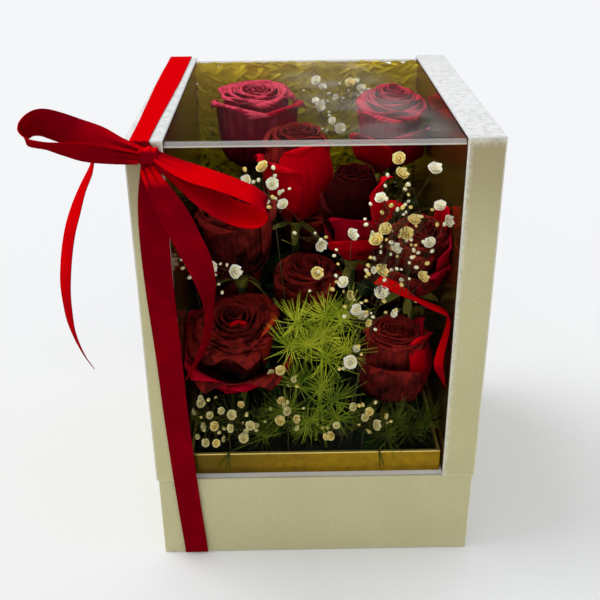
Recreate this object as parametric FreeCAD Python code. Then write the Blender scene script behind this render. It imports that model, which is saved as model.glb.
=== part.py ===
import FreeCAD, Part
import math
import os

# Flower box with a lift-off windowed cover. Millimetres, +Z up, X across the front, Y to the back.
# The origin is the middle of the base's underside.

Vector = FreeCAD.Vector

# Whole box
cover_width = 200.0
cover_depth = 210.0
box_height = 278.0
base_height = 59.0
cover_overhang = 1.2        # the cover stands this far outside the base all round
board = 2.0                 # wrapped grey board of the side frames
base_board = 2.5

# Base
ledge_depth = 6.0           # white ledge in front of and behind the gold collar
collar_rise = 15.0
collar_board = 1.8
liner_wall = 0.5
liner_below_collar = 6.0
liner_gap = 0.3
foam_below_collar = 8.0
foam_gap = 1.0

# Cover
side_thickness = 20.5
inner_board = 1.5
collar_side_gap = 1.0       # between the gold collar and the cover's inner boards
sheet = 0.5
sheet_bend = 3.0            # outer radius of the sheet's two folds
sheet_grip = 8.0            # how far the sheet runs into each side frame
sheet_foot_gap = 0.4        # between the sheet's lower edges and the base

# Ribbon
ribbon_width = 15.0
ribbon = 0.4
ribbon_lift = 0.3           # thickness of the tape between the ribbon and the box
ribbon_end_gap = 1.5        # the two ends stop this far above the base's underside
band_top_x = -86.5          # middle of the front run under the knot
band_foot_x = -80.5         # middle of the front run at the base, as the hand-tied run slants
band_back_x = -91.0         # middle of the run over the top's back edge and down the back
tape_length = 12.0
tape_margin = 2.0           # the tape is this much narrower than the ribbon on each side
knot_x = -86.5
knot_below_top = 6.5
knot_width = 12.0
knot_height = 10.0
knot_depth = 8.0

# Flowers
stem_radius = 2.4
stem_hole_gap = 0.05
stem_floor = 6.0            # the stems stop this far above the foam's underside
neck_length = 11.0          # straight stem under each head
calyx_radius = 6.0
calyx_height = 7.0
rose_radius = 23.5          # of an ordinary head
rose_height = 58.0
flower_gap = 2.0            # least room between a flower and the box
petal_gap = 0.4             # room between heads that press together
sprig_radius = 1.2
branch_radius = 0.7
blossom_radius = 3.4
tuft_radius = 6.5
tuft_length = 13.0
tuft_foot = 1.0
streamer_width = 10.0

# Worked out
half_width = cover_width / 2
half_depth = cover_depth / 2
base_half_width = half_width - cover_overhang
base_half_depth = half_depth - cover_overhang
collar_top = base_height + collar_rise
inner_half_width = half_width - side_thickness
collar_half_width = inner_half_width - collar_side_gap
collar_half_depth = base_half_depth - ledge_depth
foam_floor = base_board + liner_wall
foam_top = collar_top - foam_below_collar
sheet_half_depth = half_depth - board
sheet_top = box_height - board
room_x = inner_half_width - flower_gap
room_y = sheet_half_depth - sheet - flower_gap
room_top = sheet_top - sheet - flower_gap
room_height = room_top - foam_top


def box(x0, x1, y0, y1, z0, z1):
    return Part.makeBox(x1 - x0, y1 - y0, z1 - z0, Vector(x0, y0, z0))


def prism(points, direction):
    return Part.Face(Part.makePolygon(points + points[:1])).extrude(direction)


def rod(a, b, radius):
    return Part.makeCylinder(radius, (b - a).Length, a, b - a)


def fused(shapes):
    return shapes[0].multiFuse(shapes[1:]).removeSplitter()


# Base: a tray with a deck round the gold collar, which locates the cover.
def base_box():
    outer = box(-base_half_width, base_half_width, -base_half_depth, base_half_depth, 0, base_height)
    w = base_half_width - base_board
    d = base_half_depth - base_board
    return outer.cut(box(-w, w, -d, d, base_board, base_height))


def base_deck():
    w = base_half_width - base_board
    d = base_half_depth - base_board
    z0 = base_height - base_board
    ring = box(-w, w, -d, d, z0, base_height)
    c = collar_half_width
    e = collar_half_depth
    return ring.cut(box(-c, c, -e, e, z0, base_height))


def collar_end(side):
    y = sorted((side * collar_half_depth, side * (collar_half_depth - collar_board)))
    return box(-collar_half_width, collar_half_width, y[0], y[1], base_board, collar_top)


def collar_side(side):
    x = sorted((side * collar_half_width, side * (collar_half_width - collar_board)))
    d = collar_half_depth - collar_board
    return box(x[0], x[1], -d, d, base_board, collar_top)


def waterproof_liner():
    w = collar_half_width - collar_board - liner_gap
    d = collar_half_depth - collar_board - liner_gap
    top = collar_top - liner_below_collar
    tray = box(-w, w, -d, d, base_board, top)
    w -= liner_wall
    d -= liner_wall
    return tray.cut(box(-w, w, -d, d, foam_floor, top))


foam_half_width = collar_half_width - collar_board - liner_gap - liner_wall - foam_gap
foam_half_depth = collar_half_depth - collar_board - liner_gap - liner_wall - foam_gap


def floral_foam(stems):
    brick = box(-foam_half_width, foam_half_width, -foam_half_depth, foam_half_depth, foam_floor, foam_top)
    holes = [rod(a, b, r + stem_hole_gap) for a, b, r in stems]
    return brick.cut(Part.makeCompound(holes))


# Cover: two hollow side frames joined by one clear sheet that is folded over front, top and back.
def side_shell(side):
    x = sorted((side * half_width, side * inner_half_width))
    frame = box(x[0], x[1], -half_depth, half_depth, base_height, box_height)
    x = sorted((side * (half_width - board), side * inner_half_width))
    d = half_depth - board
    return frame.cut(box(x[0], x[1], -d, d, base_height + board, box_height - board))


def folded_profile(x, offset, foot):
    d = sheet_half_depth - offset
    top = sheet_top - offset
    r = sheet_bend - offset
    k = r * (1 - math.sqrt(0.5))
    edges = [
        Part.LineSegment(Vector(x, -d, foot), Vector(x, -d, top - r)),
        Part.Arc(Vector(x, -d, top - r), Vector(x, -d + k, top - k), Vector(x, -d + r, top)),
        Part.LineSegment(Vector(x, -d + r, top), Vector(x, d - r, top)),
        Part.Arc(Vector(x, d - r, top), Vector(x, d - k, top - k), Vector(x, d, top - r)),
        Part.LineSegment(Vector(x, d, top - r), Vector(x, d, foot)),
        Part.LineSegment(Vector(x, d, foot), Vector(x, -d, foot)),
    ]
    return Part.Face(Part.Wire([e.toShape() for e in edges]))


def clear_window():
    w = inner_half_width + sheet_grip
    foot = base_height + sheet_foot_gap
    along = Vector(2 * w, 0, 0)
    bent = folded_profile(-w, 0, foot).extrude(along).cut(folded_profile(-w, sheet, foot).extrude(along))
    notches = []
    for side in (-1, 1):
        x = sorted((side * inner_half_width, side * w))
        notches.append(box(x[0], x[1], -half_depth, half_depth, foot, base_height + board))
    return bent.cut(Part.makeCompound(notches))


def inner_panel(side):
    x = inner_half_width if side > 0 else -inner_half_width - inner_board
    return folded_profile(x, sheet, base_height + board).extrude(Vector(inner_board, 0, 0))


# Ribbon: a band down the left frame, held by tape, with a knot and a bow at the top front corner.
band_face = half_depth + ribbon_lift
band_corner = 2 * ribbon_lift     # the fold over the back edge clears the sharp edge of the box
knot_front = -band_face - ribbon - ribbon_lift
knot_z = box_height - knot_below_top


def ribbon_front():
    half = ribbon_width / 2
    top = knot_z
    y = -band_face - ribbon
    points = [
        Vector(band_foot_x - half, y, ribbon_end_gap),
        Vector(band_foot_x + half, y, ribbon_end_gap),
        Vector(band_top_x + half, y, top),
        Vector(band_top_x - half, y, top),
    ]
    return prism(points, Vector(0, ribbon, 0))


def ribbon_over():
    half = ribbon_width / 2
    top = box_height + ribbon_lift
    lean = band_top_x - band_back_x
    y = -band_face - ribbon
    points = [
        Vector(band_back_x + lean - half, y, top),
        Vector(band_back_x + lean + half, y, top),
        Vector(band_back_x + half, band_face - band_corner, top),
        Vector(band_back_x - half, band_face - band_corner, top),
    ]
    run = prism(points, Vector(0, 0, ribbon))
    lip = box(band_top_x - half, band_top_x + half, y, y + ribbon, knot_z + ribbon_lift, top + ribbon)
    x0 = band_back_x - half
    c = Vector(x0, band_face - band_corner, top - band_corner)
    bend = Part.makeCylinder(band_corner + ribbon, ribbon_width, c, Vector(1, 0, 0))
    bend = bend.cut(Part.makeCylinder(band_corner, ribbon_width, c, Vector(1, 0, 0)))
    reach = band_corner + ribbon
    bend = bend.common(box(x0, x0 + ribbon_width, c.y, c.y + reach, c.z, c.z + reach))
    back = box(x0, x0 + ribbon_width, band_face, band_face + ribbon, ribbon_end_gap, c.z)
    return fused([run, lip, bend, back])


def band_tape_pads():
    w = ribbon_width / 2 - tape_margin
    h = tape_length / 2
    front_z = base_height + (box_height - base_height) / 2
    share = (front_z - ribbon_end_gap) / (knot_z - ribbon_end_gap)
    front_x = band_foot_x + share * (band_top_x - band_foot_x)
    top_x = (band_top_x + band_back_x) / 2
    back_x = band_back_x
    pads = [
        box(front_x - w, front_x + w, -band_face, -half_depth, front_z - h, front_z + h),
        box(top_x - w, top_x + w, -h, h, box_height, box_height + ribbon_lift),
        box(back_x - w, back_x + w, half_depth, band_face, front_z - h, front_z + h),
    ]
    return Part.makeCompound(pads)


def ribbon_knot():
    lump = box(
        knot_x - knot_width / 2, knot_x + knot_width / 2, knot_front - knot_depth, knot_front,
        knot_z - knot_height / 2, knot_z + knot_height / 2,
    )
    rounding = knot_depth * 0.45
    return lump.makeFillet(rounding, lump.Edges)


# A strip of ribbon is skinned over flat sections. Each point of its route gives where the middle is,
# how far the ribbon's width turns from the first direction to the second, and the width there: it is
# pinched at the knot and cut to a point at its free end.
face_up = Vector(0, 0.45, 0.89)
face_out = Vector(0, -0.89, 0.45)
level = Vector(1, 0, 0)
inward = Vector(0, 1, 0)
outward = Vector(0, -1, 0)
upright = Vector(0, 0, 1)
slanted = Vector(-0.5, 0.87, 0)
pinched = 7.0
gathered = 11.0
point_width = 1.5
strip_sections = 25
knot_middle = Vector(knot_x, knot_front - knot_depth / 2, knot_z)

# Places from the middle of the knot, in ribbon widths
left_loop = (
    (-0.42, -0.14, 0.15, 16, pinched), (-0.97, -0.10, 0.33, 14, gathered),
    (-1.63, 0, 0.55, 14, ribbon_width), (-2.34, 0.07, 0.80, 16, ribbon_width),
    (-2.97, 0.07, 1.05, 22, ribbon_width), (-3.46, 0, 1.23, 34, ribbon_width),
    (-3.82, -0.17, 1.21, 46, ribbon_width), (-4.06, -0.40, 0.99, 60, ribbon_width),
    (-3.76, -0.70, 0.81, 72, ribbon_width), (-3.25, -0.80, 0.63, 76, ribbon_width),
    (-2.64, -0.73, 0.41, 76, ribbon_width), (-1.99, -0.60, 0.23, 72, ribbon_width),
    (-1.19, -0.40, 0.04, 60, gathered), (-0.42, -0.24, -0.06, 40, pinched),
)
right_loop = (
    (0.42, -0.15, -0.02, -34, pinched), (0.80, -0.23, -0.24, -38, gathered),
    (1.44, -0.33, -0.52, -42, ribbon_width), (2.25, -0.40, -0.78, -43, ribbon_width),
    (3.06, -0.43, -1.09, -43, ribbon_width), (3.67, -0.47, -1.39, -43, ribbon_width),
    (3.96, -0.47, -1.76, -43, ribbon_width), (3.62, -0.47, -2.07, -43, ribbon_width),
    (2.79, -0.40, -1.96, -42, ribbon_width), (1.87, -0.33, -1.38, -40, ribbon_width),
    (1.05, -0.23, -0.70, -34, gathered), (0.42, -0.13, -0.20, -26, pinched),
)
left_tail = (
    (-0.42, 0.11, -0.04, 90, pinched), (-1.05, 0.17, -0.07, 88, gathered),
    (-1.61, 0.20, -0.14, 72, ribbon_width), (-2.02, 0.20, -0.45, 30, ribbon_width),
    (-2.43, 0.17, -1.21, 6, ribbon_width), (-2.91, 0.13, -2.30, 0, ribbon_width),
    (-3.30, 0.07, -3.58, 0, ribbon_width), (-3.48, 0.03, -4.57, 0, ribbon_width),
    (-3.49, 0, -5.61, 0, ribbon_width), (-3.37, -0.03, -6.85, 0, ribbon_width),
    (-3.11, -0.04, -7.77, 0, gathered), (-2.81, -0.04, -8.37, 0, point_width),
)
right_tail = (
    (-0.08, -0.16, -0.39, 14, pinched), (0.31, -0.63, -0.90, 12, gathered),
    (0.79, -0.64, -1.93, 14, ribbon_width), (1.19, -0.61, -2.87, 20, ribbon_width),
    (1.55, -0.57, -3.80, 34, ribbon_width), (1.79, -0.55, -4.73, 58, ribbon_width),
    (1.77, -0.55, -5.67, 74, ribbon_width), (1.55, -0.55, -6.60, 68, ribbon_width),
    (1.19, -0.51, -7.47, 62, gathered), (0.72, -0.44, -8.33, 60, point_width),
)


def bow_strip(route, first, second):
    places = [(*(knot_middle + Vector(*p[:3]) * ribbon_width), p[3], p[4]) for p in route]
    return ribbon_strip(places, first, second)


def ribbon_strip(route, first, second):
    curve = Part.BSplineCurve()
    curve.interpolate([Vector(*p[:3]) for p in route])
    knots = curve.getKnots()
    sections = []
    for i in range(strip_sections):
        s = i / (strip_sections - 1) * (len(route) - 1)
        k = min(int(s), len(route) - 2)
        t = s - k
        u = knots[k] + t * (knots[k + 1] - knots[k])
        turn = math.radians(route[k][3] + t * (route[k + 1][3] - route[k][3]))
        width = route[k][4] + t * (route[k + 1][4] - route[k][4])
        at = curve.value(u)
        along = Vector(*curve.tangent(u)[0])
        across = first * math.cos(turn) + second * math.sin(turn)
        across = across - along * across.dot(along)
        across.normalize()
        out = along.cross(across) * (ribbon / 2)
        across = across * (width / 2)
        sections.append([at - across - out, at + across - out, at + across + out, at - across + out])
    return skin(sections)


# A solid over sections of four corners: ruled faces from each section to the next, and a flat face at
# each end. The corners keep their order, so a strip that turns back on itself isn't twisted.
def skin(sections):
    faces = [Part.Face(Part.makePolygon(end + end[:1])) for end in (sections[0], sections[-1])]
    for here, ahead in zip(sections, sections[1:]):
        for i in range(4):
            j = (i + 1) % 4
            near = Part.makeLine(here[i], here[j])
            far = Part.makeLine(ahead[i], ahead[j])
            faces.append(Part.makeRuledSurface(near, far))
    shell = Part.makeShell(faces)
    shell.sewShape()
    solid = Part.makeSolid(shell)
    if solid.Volume < 0:
        solid.reverse()
    return solid


# Flowers stand in the room between the foam and the sheet. A place in it is given as shares of the room:
# across and deep from its middle, and high from the foam. Where a stem ends in the foam is given as shares
# of its half sizes.
def spot(place):
    return Vector(place[0] * room_x, place[1] * room_y, foam_top + place[2] * room_height)


def stem_end(place):
    return Vector(place[0] * foam_half_width, place[1] * foam_half_depth, foam_floor + stem_floor)


# Roses: the head's place as shares of the room left beside it, its lean to the right and to the front,
# its radius and height as shares of an ordinary head's, and where its stem ends.
roses = {
    "back_left": ((-0.70, 0.83, 0.95), (0, 0.06), (1.23, 1.0), (-0.45, 0.60)),
    "back_right": ((0.98, 0.52, 0.95), (0.04, 0.14), (1.13, 0.97), (0.61, 0.39)),
    "middle_tall": ((-0.16, -0.06, 0.88), (0.03, 0.10), (0.96, 1.10), (-0.14, 0.24)),
    "middle_dark": ((0.46, -0.46, 0.77), (0.02, 0.16), (0.91, 1.07), (0.63, -0.10)),
    "left_high": ((-0.86, -0.60, 0.70), (-0.03, 0.30), (1.0, 1.0), (-0.05, -0.27)),
    "front_left": ((-0.98, -0.86, 0.27), (-0.06, 0.80), (1.23, 0.86), (-0.64, -0.29)),
    "front_right": ((0.92, -0.86, 0.17), (0.04, 0.10), (1.0, 1.0), (0.66, -0.66)),
    "right_high": ((0.99, -0.775, 0.62), (0.05, 0.55), (0.83, 0.90), (0.80, -0.14)),
    "middle_low": ((-0.07, -0.33, 0.37), (0, 0.20), (1.0, 1.0), (-0.02, -0.07)),
    "left_back": ((-0.99, -0.05, 0.36), (-0.03, 0), (1.0, 1.0), (-0.72, -0.04)),
    "right_back": ((0.92, 0.02, 0.34), (0, 0), (1.0, 1.0), (0.65, 0.05)),
    "middle_back": ((0.05, 0.62, 0.45), (0, 0), (1.0, 1.0), (0.09, 0.54)),
}
# The head's outline as shares of its radius and height: a cup with a rim, a hollow and the bud in the middle
head_side = ((0.18, 0), (0.34, 0.10), (0.86, 0.30), (1.0, 0.62), (0.93, 0.86), (0.97, 0.95))
head_crown = ((0.78, 1.0), (0.46, 0.93), (0.22, 1.0), (0, 1.0), (0, 0))


def rose_place(rose):
    place, (right, front), size, end = rose
    radius = size[0] * rose_radius
    height = size[1] * rose_height
    lean = Vector(right, -front, 1)
    lean.normalize()
    x = place[0] * (room_x - radius)
    y = place[1] * (room_y - radius)
    z = foam_top + height / 2 + place[2] * (room_height - height)
    return Vector(x, y, z) - lean * (height / 2), lean


def rose_head(rose, grow=0.0):
    radius = rose[2][0] * rose_radius + grow
    height = rose[2][1] * rose_height
    side = Part.BSplineCurve()
    side.interpolate([Vector(a * radius, 0, b * height) for a, b in head_side])
    crown = [Vector(a * radius, 0, b * height) for a, b in head_side[-1:] + head_crown + head_side[:1]]
    outline = Part.Wire([side.toShape()] + Part.makePolygon(crown).Edges)
    head = Part.Face(outline).revolve(Vector(0, 0, 0), Vector(0, 0, 1), 360)
    foot, lean = rose_place(rose)
    head.Placement = FreeCAD.Placement(foot, FreeCAD.Rotation(Vector(0, 0, 1), lean))
    return head


def rose_stem_line(rose):
    foot, lean = rose_place(rose)
    under = foot - lean * calyx_height
    bend = under - lean * neck_length
    return foot, lean, under, bend, stem_end(rose[3])


def rose_stem(rose, grow=0.0):
    foot, lean, under, bend, end = rose_stem_line(rose)
    r = stem_radius + grow
    calyx = Part.makeCone(r, calyx_radius + grow, calyx_height, under, lean)
    return fused([calyx, rod(bend, under, r), Part.makeSphere(r, bend), rod(end, bend, r)])


# Baby's breath: where the stem ends in the foam, where it forks, and the small double blossoms
breath_sprigs = {
    "upper_right": ((0.17, -0.83), (0.39, -0.955, 0.385), (
        (0.60, -0.945, 0.905), (0.82, -0.945, 0.915), (0.87, -0.945, 0.815), (0.83, -0.945, 0.71),
        (0.58, -0.945, 0.70), (0.44, -0.945, 0.72), (0.48, -0.945, 0.625), (0.80, -0.945, 0.64))),
    "right_middle": ((0.31, -0.77), (0.35, -0.895, 0.355), (
        (0.31, -0.955, 0.515), (0.20, -0.955, 0.56), (0.35, -0.895, 0.48), (0.27, -0.965, 0.35))),
    "lower_left": ((-0.71, -0.92), (-0.70, -0.90, 0.087), (
        (-0.90, -0.945, 0.21), (-0.88, -0.965, 0.077), (-0.80, -0.965, 0.135), (-0.67, -0.965, 0.175),
        (-0.52, -0.965, 0.135), (-0.58, -0.955, 0.087))),
    "lower_middle": ((-0.22, -0.92), (-0.22, -0.90, 0.106), (
        (-0.22, -0.965, 0.183), (-0.285, -0.965, 0.15), (-0.27, -0.945, 0.318))),
    "lower_right": ((0.39, -0.92), (0.39, -0.90, 0.087), (
        (0.43, -0.965, 0.178), (0.48, -0.965, 0.13), (0.13, -0.965, 0.096))),
    "upper_left": ((-0.11, -0.48), (-0.285, -0.615, 0.695), (
        (-0.375, -0.655, 0.885), (-0.31, -0.705, 0.845), (-0.49, -0.775, 0.865), (-0.23, -0.735, 0.79),
        (0.05, -0.615, 0.645))),
    "top_back": ((0.41, 0.87), (0.18, 0.875, 0.72), (
        (0.10, 0.615, 0.895), (0.39, 0.795, 0.95), (0.50, 0.855, 0.925), (0.28, 0.515, 0.83),
        (0.08, 0.795, 0.96))),
    "left_edge": ((-0.87, 0.38), (-0.92, -0.60, 0.47), (
        (-0.94, -0.92, 0.61), (-0.88, -0.86, 0.53), (-0.95, -0.66, 0.59))),
}


def breath_sprig(sprig, grow=0.0):
    end, fork, blossoms = sprig
    fork = spot(fork)
    r = sprig_radius + grow
    pieces = [rod(stem_end(end), fork, r), Part.makeSphere(r, fork)]
    for place in blossoms:
        at = spot(place)
        pieces.append(rod(fork, at, branch_radius + grow))
        pieces.append(Part.makeSphere(blossom_radius + grow, at))
    return fused(pieces)


# Fern: a thin stem with tufts of needles, each tuft's outer shape a small cone that opens outwards
fern_sprigs = {
    "middle": ((0, -0.75), (0.065, -0.835, 0.357), (
        (-0.115, -0.875, 0.453), (0.05, -0.895, 0.487), (0.14, -0.885, 0.455), (-0.10, -0.895, 0.37),
        (0.18, -0.875, 0.313), (0.065, -0.905, 0.405))),
    "middle_low": ((0.13, -0.82), (0.05, -0.875, 0.164), (
        (-0.115, -0.895, 0.222), (0.05, -0.905, 0.26), (0.15, -0.895, 0.202))),
    "right_low": ((0.63, -0.92), (0.62, -0.885, 0.067), ((0.67, -0.905, 0.135), (0.80, -0.895, 0.096))),
    "left_low": ((-0.41, -0.92), (-0.39, -0.885, 0.067), ((-0.39, -0.895, 0.135), (-0.47, -0.875, 0.087))),
    "back": ((-0.03, 0.93), (-0.03, 0.925, 0.30), (
        (-0.80, 0.94, 0.41), (-0.57, 0.93, 0.57), (-0.86, 0.925, 0.68), (-0.50, 0.945, 0.79),
        (-0.84, 0.935, 0.91),
        (-0.27, 0.925, 0.93), (-0.15, 0.94, 0.63), (-0.02, 0.93, 0.81), (0.31, 0.94, 0.53),
        (0.55, 0.925, 0.66),
        (0.80, 0.935, 0.45), (0.86, 0.94, 0.76), (0.60, 0.93, 0.89))),
}


def fern_sprig(sprig, grow=0.0):
    end, fork, tufts = sprig
    fork = spot(fork)
    r = sprig_radius + grow
    pieces = [rod(stem_end(end), fork, r), Part.makeSphere(r, fork)]
    for place in tufts:
        at = spot(place)
        way = at - fork
        way.normalize()
        root = at - way * (tuft_length / 2)
        pieces.append(rod(fork, at, branch_radius + grow))
        pieces.append(Part.makeCone(tuft_foot + grow, tuft_radius + grow, tuft_length, root, way))
    return fused(pieces)


# A narrow satin streamer is tucked under the high right-hand rose and trails down the right side.
streamer_turn = (58, 55, 45, 25, 5, 0, 0, 0)
streamer_places = (
    (0.602, -0.836, 0.605), (0.67, -0.915, 0.573), (0.80, -0.955, 0.53), (0.90, -0.96, 0.50),
    (0.925, -0.96, 0.453),
    (0.905, -0.96, 0.41), (0.935, -0.96, 0.357), (0.955, -0.96, 0.27),
)


def inner_streamer():
    widths = [streamer_width] * (len(streamer_places) - 1) + [point_width]
    route = [(*spot(p), turn, w) for p, turn, w in zip(streamer_places, streamer_turn, widths)]
    return ribbon_strip(route, outward, upright)


# Petals make room for what they press against, so a head gives way to stems, sprigs and the heads before it.
def pressed(head, blockers):
    near = [b for b in blockers if head.BoundBox.intersect(b.BoundBox) and head.common(b).Volume > 0]
    return head.cut(Part.makeCompound(near)) if near else head


os.makedirs("parts", exist_ok=True)
nodes = {}

nodes["base_box"] = base_box()
nodes["base_deck"] = base_deck()
nodes["collar_front"] = collar_end(-1)
nodes["collar_back"] = collar_end(1)
nodes["collar_left"] = collar_side(-1)
nodes["collar_right"] = collar_side(1)
nodes["waterproof_liner"] = waterproof_liner()

holes = []
guards = []
for name, rose in roses.items():
    foot, lean, under, bend, end = rose_stem_line(rose)
    holes.append((end, bend, stem_radius))
    nodes["rose_stem_" + name] = rose_stem(rose)
for kind, sprigs, make in (("breath", breath_sprigs, breath_sprig), ("fern", fern_sprigs, fern_sprig)):
    for name, sprig in sprigs.items():
        fork = spot(sprig[1])
        holes.append((stem_end(sprig[0]), fork, sprig_radius))
        nodes[kind + "_sprig_" + name] = make(sprig)
        guards.append(make(sprig, petal_gap))
nodes["floral_foam"] = floral_foam(holes)
nodes["inner_streamer"] = inner_streamer()

for name, rose in roses.items():
    others = [rose_stem(r, petal_gap) for n, r in roses.items() if n != name]
    nodes["rose_head_" + name] = pressed(rose_head(rose), guards + others)
    guards.append(rose_head(rose, petal_gap))

for name, side in (("left", -1), ("right", 1)):
    nodes[name + "_side_shell"] = side_shell(side)
    nodes[name + "_inner_board"] = inner_panel(side)
nodes["clear_window"] = clear_window()

nodes["ribbon_front"] = ribbon_front()
nodes["ribbon_over"] = ribbon_over()
nodes["band_tape_pads"] = band_tape_pads()
nodes["ribbon_knot"] = ribbon_knot()
nodes["bow_left_loop"] = bow_strip(left_loop, face_up, face_out)
nodes["bow_right_loop"] = bow_strip(right_loop, face_up, face_out)
nodes["ribbon_left_tail"] = bow_strip(left_tail, slanted, upright)
nodes["ribbon_right_tail"] = bow_strip(right_tail, level, inward)

for name, shape in nodes.items():
    shape.exportStep("parts/" + name + ".step")
    solids = shape.Solids
    state = "valid" if shape.isValid() else "INVALID"
    print(name, len(solids), "solids", round(shape.Volume, 1), "mm3", state)
print(len(nodes), "nodes")
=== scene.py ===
import bpy
import math
import random
from mathutils import Matrix, Vector, noise


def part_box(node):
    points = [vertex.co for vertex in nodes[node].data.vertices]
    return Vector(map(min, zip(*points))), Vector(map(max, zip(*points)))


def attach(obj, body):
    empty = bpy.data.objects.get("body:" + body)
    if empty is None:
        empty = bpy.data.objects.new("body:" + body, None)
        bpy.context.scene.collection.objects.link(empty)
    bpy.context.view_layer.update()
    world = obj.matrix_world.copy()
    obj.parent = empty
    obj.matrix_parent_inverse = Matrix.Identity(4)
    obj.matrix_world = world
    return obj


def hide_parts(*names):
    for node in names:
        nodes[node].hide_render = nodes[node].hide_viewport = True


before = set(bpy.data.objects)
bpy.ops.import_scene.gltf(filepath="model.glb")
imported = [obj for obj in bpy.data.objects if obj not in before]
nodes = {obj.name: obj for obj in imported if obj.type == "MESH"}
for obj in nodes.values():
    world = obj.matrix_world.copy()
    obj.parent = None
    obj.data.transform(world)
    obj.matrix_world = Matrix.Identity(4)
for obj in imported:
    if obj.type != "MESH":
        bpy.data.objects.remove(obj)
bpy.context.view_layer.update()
scene = bpy.context.scene
mm = 0.001

# The room the flowers have behind the clear sheet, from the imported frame.
sheetThick = 0.5 * mm
flowerGap = 2 * mm
sideSlack = 1.2 * mm  # how far petals and leaves may spread past the room
topSlack = 1 * mm
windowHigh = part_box("clear_window")[1]
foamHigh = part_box("floral_foam")[1]
collarLow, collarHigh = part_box("collar_front")
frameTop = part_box("left_side_shell")[1].z
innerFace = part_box("right_inner_board")[0].x
roomX = innerFace - flowerGap
roomY = windowHigh.y - sheetThick - flowerGap
roomTop = windowHigh.z - sheetThick - flowerGap
roomHeight = roomTop - foamHigh.z
fullTurn = 6.28
print("frame loaded")


def deselectAll():
    if bpy.context.object and bpy.context.object.mode != "OBJECT":
        bpy.ops.object.mode_set(mode="OBJECT")
    bpy.ops.object.select_all(action="DESELECT")


def pick(piece):
    deselectAll()
    piece.select_set(True)
    bpy.context.view_layer.objects.active = piece


def joinPieces(pieces, name):
    pick(pieces[0])
    for piece in pieces:
        piece.select_set(True)
    if len(pieces) > 1:
        bpy.ops.object.join()
    joined = bpy.context.object
    joined.name = name
    joined.data.name = name
    return joined


def applyModifier(piece, kind, **settings):
    pick(piece)
    modifier = piece.modifiers.new(kind.title(), kind)
    for key, value in settings.items():
        setattr(modifier, key, value)
    bpy.ops.object.modifier_apply(modifier=modifier.name)


def thicken(piece, thick):
    applyModifier(piece, "SOLIDIFY", thickness=thick, offset=0)


def shadeSmooth(piece, angle=None):
    pick(piece)
    if angle is None:
        bpy.ops.object.shade_smooth()
    else:
        bpy.ops.object.shade_smooth_by_angle(angle=math.radians(angle))


def dress(piece, body, slot, *replaced):
    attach(piece, body)
    if replaced:
        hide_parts(*replaced)


def paint(piece, *materials):
    piece.data.materials.clear()
    for material in materials:
        piece.data.materials.append(material)


# Turns all the faces of a piece to one of its materials.
def setLook(piece, look):
    for polygon in piece.data.polygons:
        polygon.material_index = look


def newGrid(name, across, along):
    deselectAll()
    bpy.ops.mesh.primitive_grid_add(x_subdivisions=across, y_subdivisions=along, size=1)
    grid = bpy.context.object
    grid.name = name
    return grid


def copyOf(piece, name):
    copied = piece.copy()
    copied.data = piece.data.copy()
    copied.name = name
    scene.collection.objects.link(copied)
    return copied


# Moves each corner of a flat grid to formula(u, v): u from -1 to 1 across it, v from 0 to 1 along it.
def shapeGrid(grid, formula):
    for vertex in grid.data.vertices:
        vertex.co = formula(2 * vertex.co.x, vertex.co.y + 0.5)


def selectFaces(piece, test):
    pick(piece)
    bpy.ops.object.mode_set(mode="EDIT")
    bpy.ops.mesh.select_mode(type="FACE")
    bpy.ops.mesh.select_all(action="DESELECT")
    bpy.ops.object.mode_set(mode="OBJECT")
    for polygon in piece.data.polygons:
        polygon.select = test(polygon)
    bpy.ops.object.mode_set(mode="EDIT")


# One mesh along lines. A line is its points, a radius or half width for each, and a tilt if it is a blade.
def curveMesh(name, lines, **settings):
    curve = bpy.data.curves.new(name, "CURVE")
    curve.dimensions = "3D"
    for key, value in settings.items():
        setattr(curve, key, value)
    for points, radii, *tilt in lines:
        spline = curve.splines.new("NURBS")
        spline.points.add(len(points) - 1)
        for corner, place, radius in zip(spline.points, points, radii):
            corner.co = (*place, 1)
            corner.radius = radius
            corner.tilt = tilt[0] if tilt else 0
        spline.order_u = min(3, len(points))
        spline.use_endpoint_u = True
    piece = bpy.data.objects.new(name, curve)
    scene.collection.objects.link(piece)
    pick(piece)
    bpy.ops.object.convert(target="MESH")
    return bpy.context.object


def tubes(name, lines, roundness, smoothness):
    return curveMesh(name, lines, bevel_depth=1, bevel_resolution=roundness, resolution_u=smoothness,
                     use_fill_caps=True)


# A line for tubes, with its radii in mm.
def tubeLine(points, *radii):
    return points, [radius * mm for radius in radii]


# A place in the room, from shares of its half width, half depth and height.
def spot(share):
    return Vector((share[0] * roomX, share[1] * roomY, foamHigh.z + share[2] * roomHeight))


# Where a stem ends in the foam, from shares of the foam's half width and half depth.
def footing(share, deep):
    return Vector((share[0] * foamHigh.x, share[1] * foamHigh.y, foamHigh.z - deep))


def inRoom(place, margin=0.4 * mm):
    wide = roomX + sideSlack - margin
    deep = roomY + sideSlack - margin
    x = max(-wide, min(wide, place.x))
    y = max(-deep, min(deep, place.y))
    return Vector((x, y, min(place.z, roomTop + topSlack)))


def mix(low, high, share):
    return low + (high - low) * share


def smooth(low, high, value):
    share = max(0, min(1, (value - low) / (high - low)))
    return share * share * (3 - 2 * share)


# Nodes. A number or a colour is set on a socket, and another socket is linked to it.
def feed(socket, value):
    if isinstance(value, (int, float)):
        socket.default_value = value
    elif isinstance(value, tuple):
        socket.default_value = (*value, 1)
    else:
        socket.id_data.links.new(value, socket)


def addNode(tree, kind, **settings):
    node = tree.nodes.new("ShaderNode" + kind)
    for key, value in settings.items():
        setattr(node, key, value)
    return node


def addMath(operation, first, second=0):
    node = addNode(first.id_data, "Math", operation=operation)
    feed(node.inputs[0], first)
    feed(node.inputs[1], second)
    return node.outputs[0]


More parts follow.
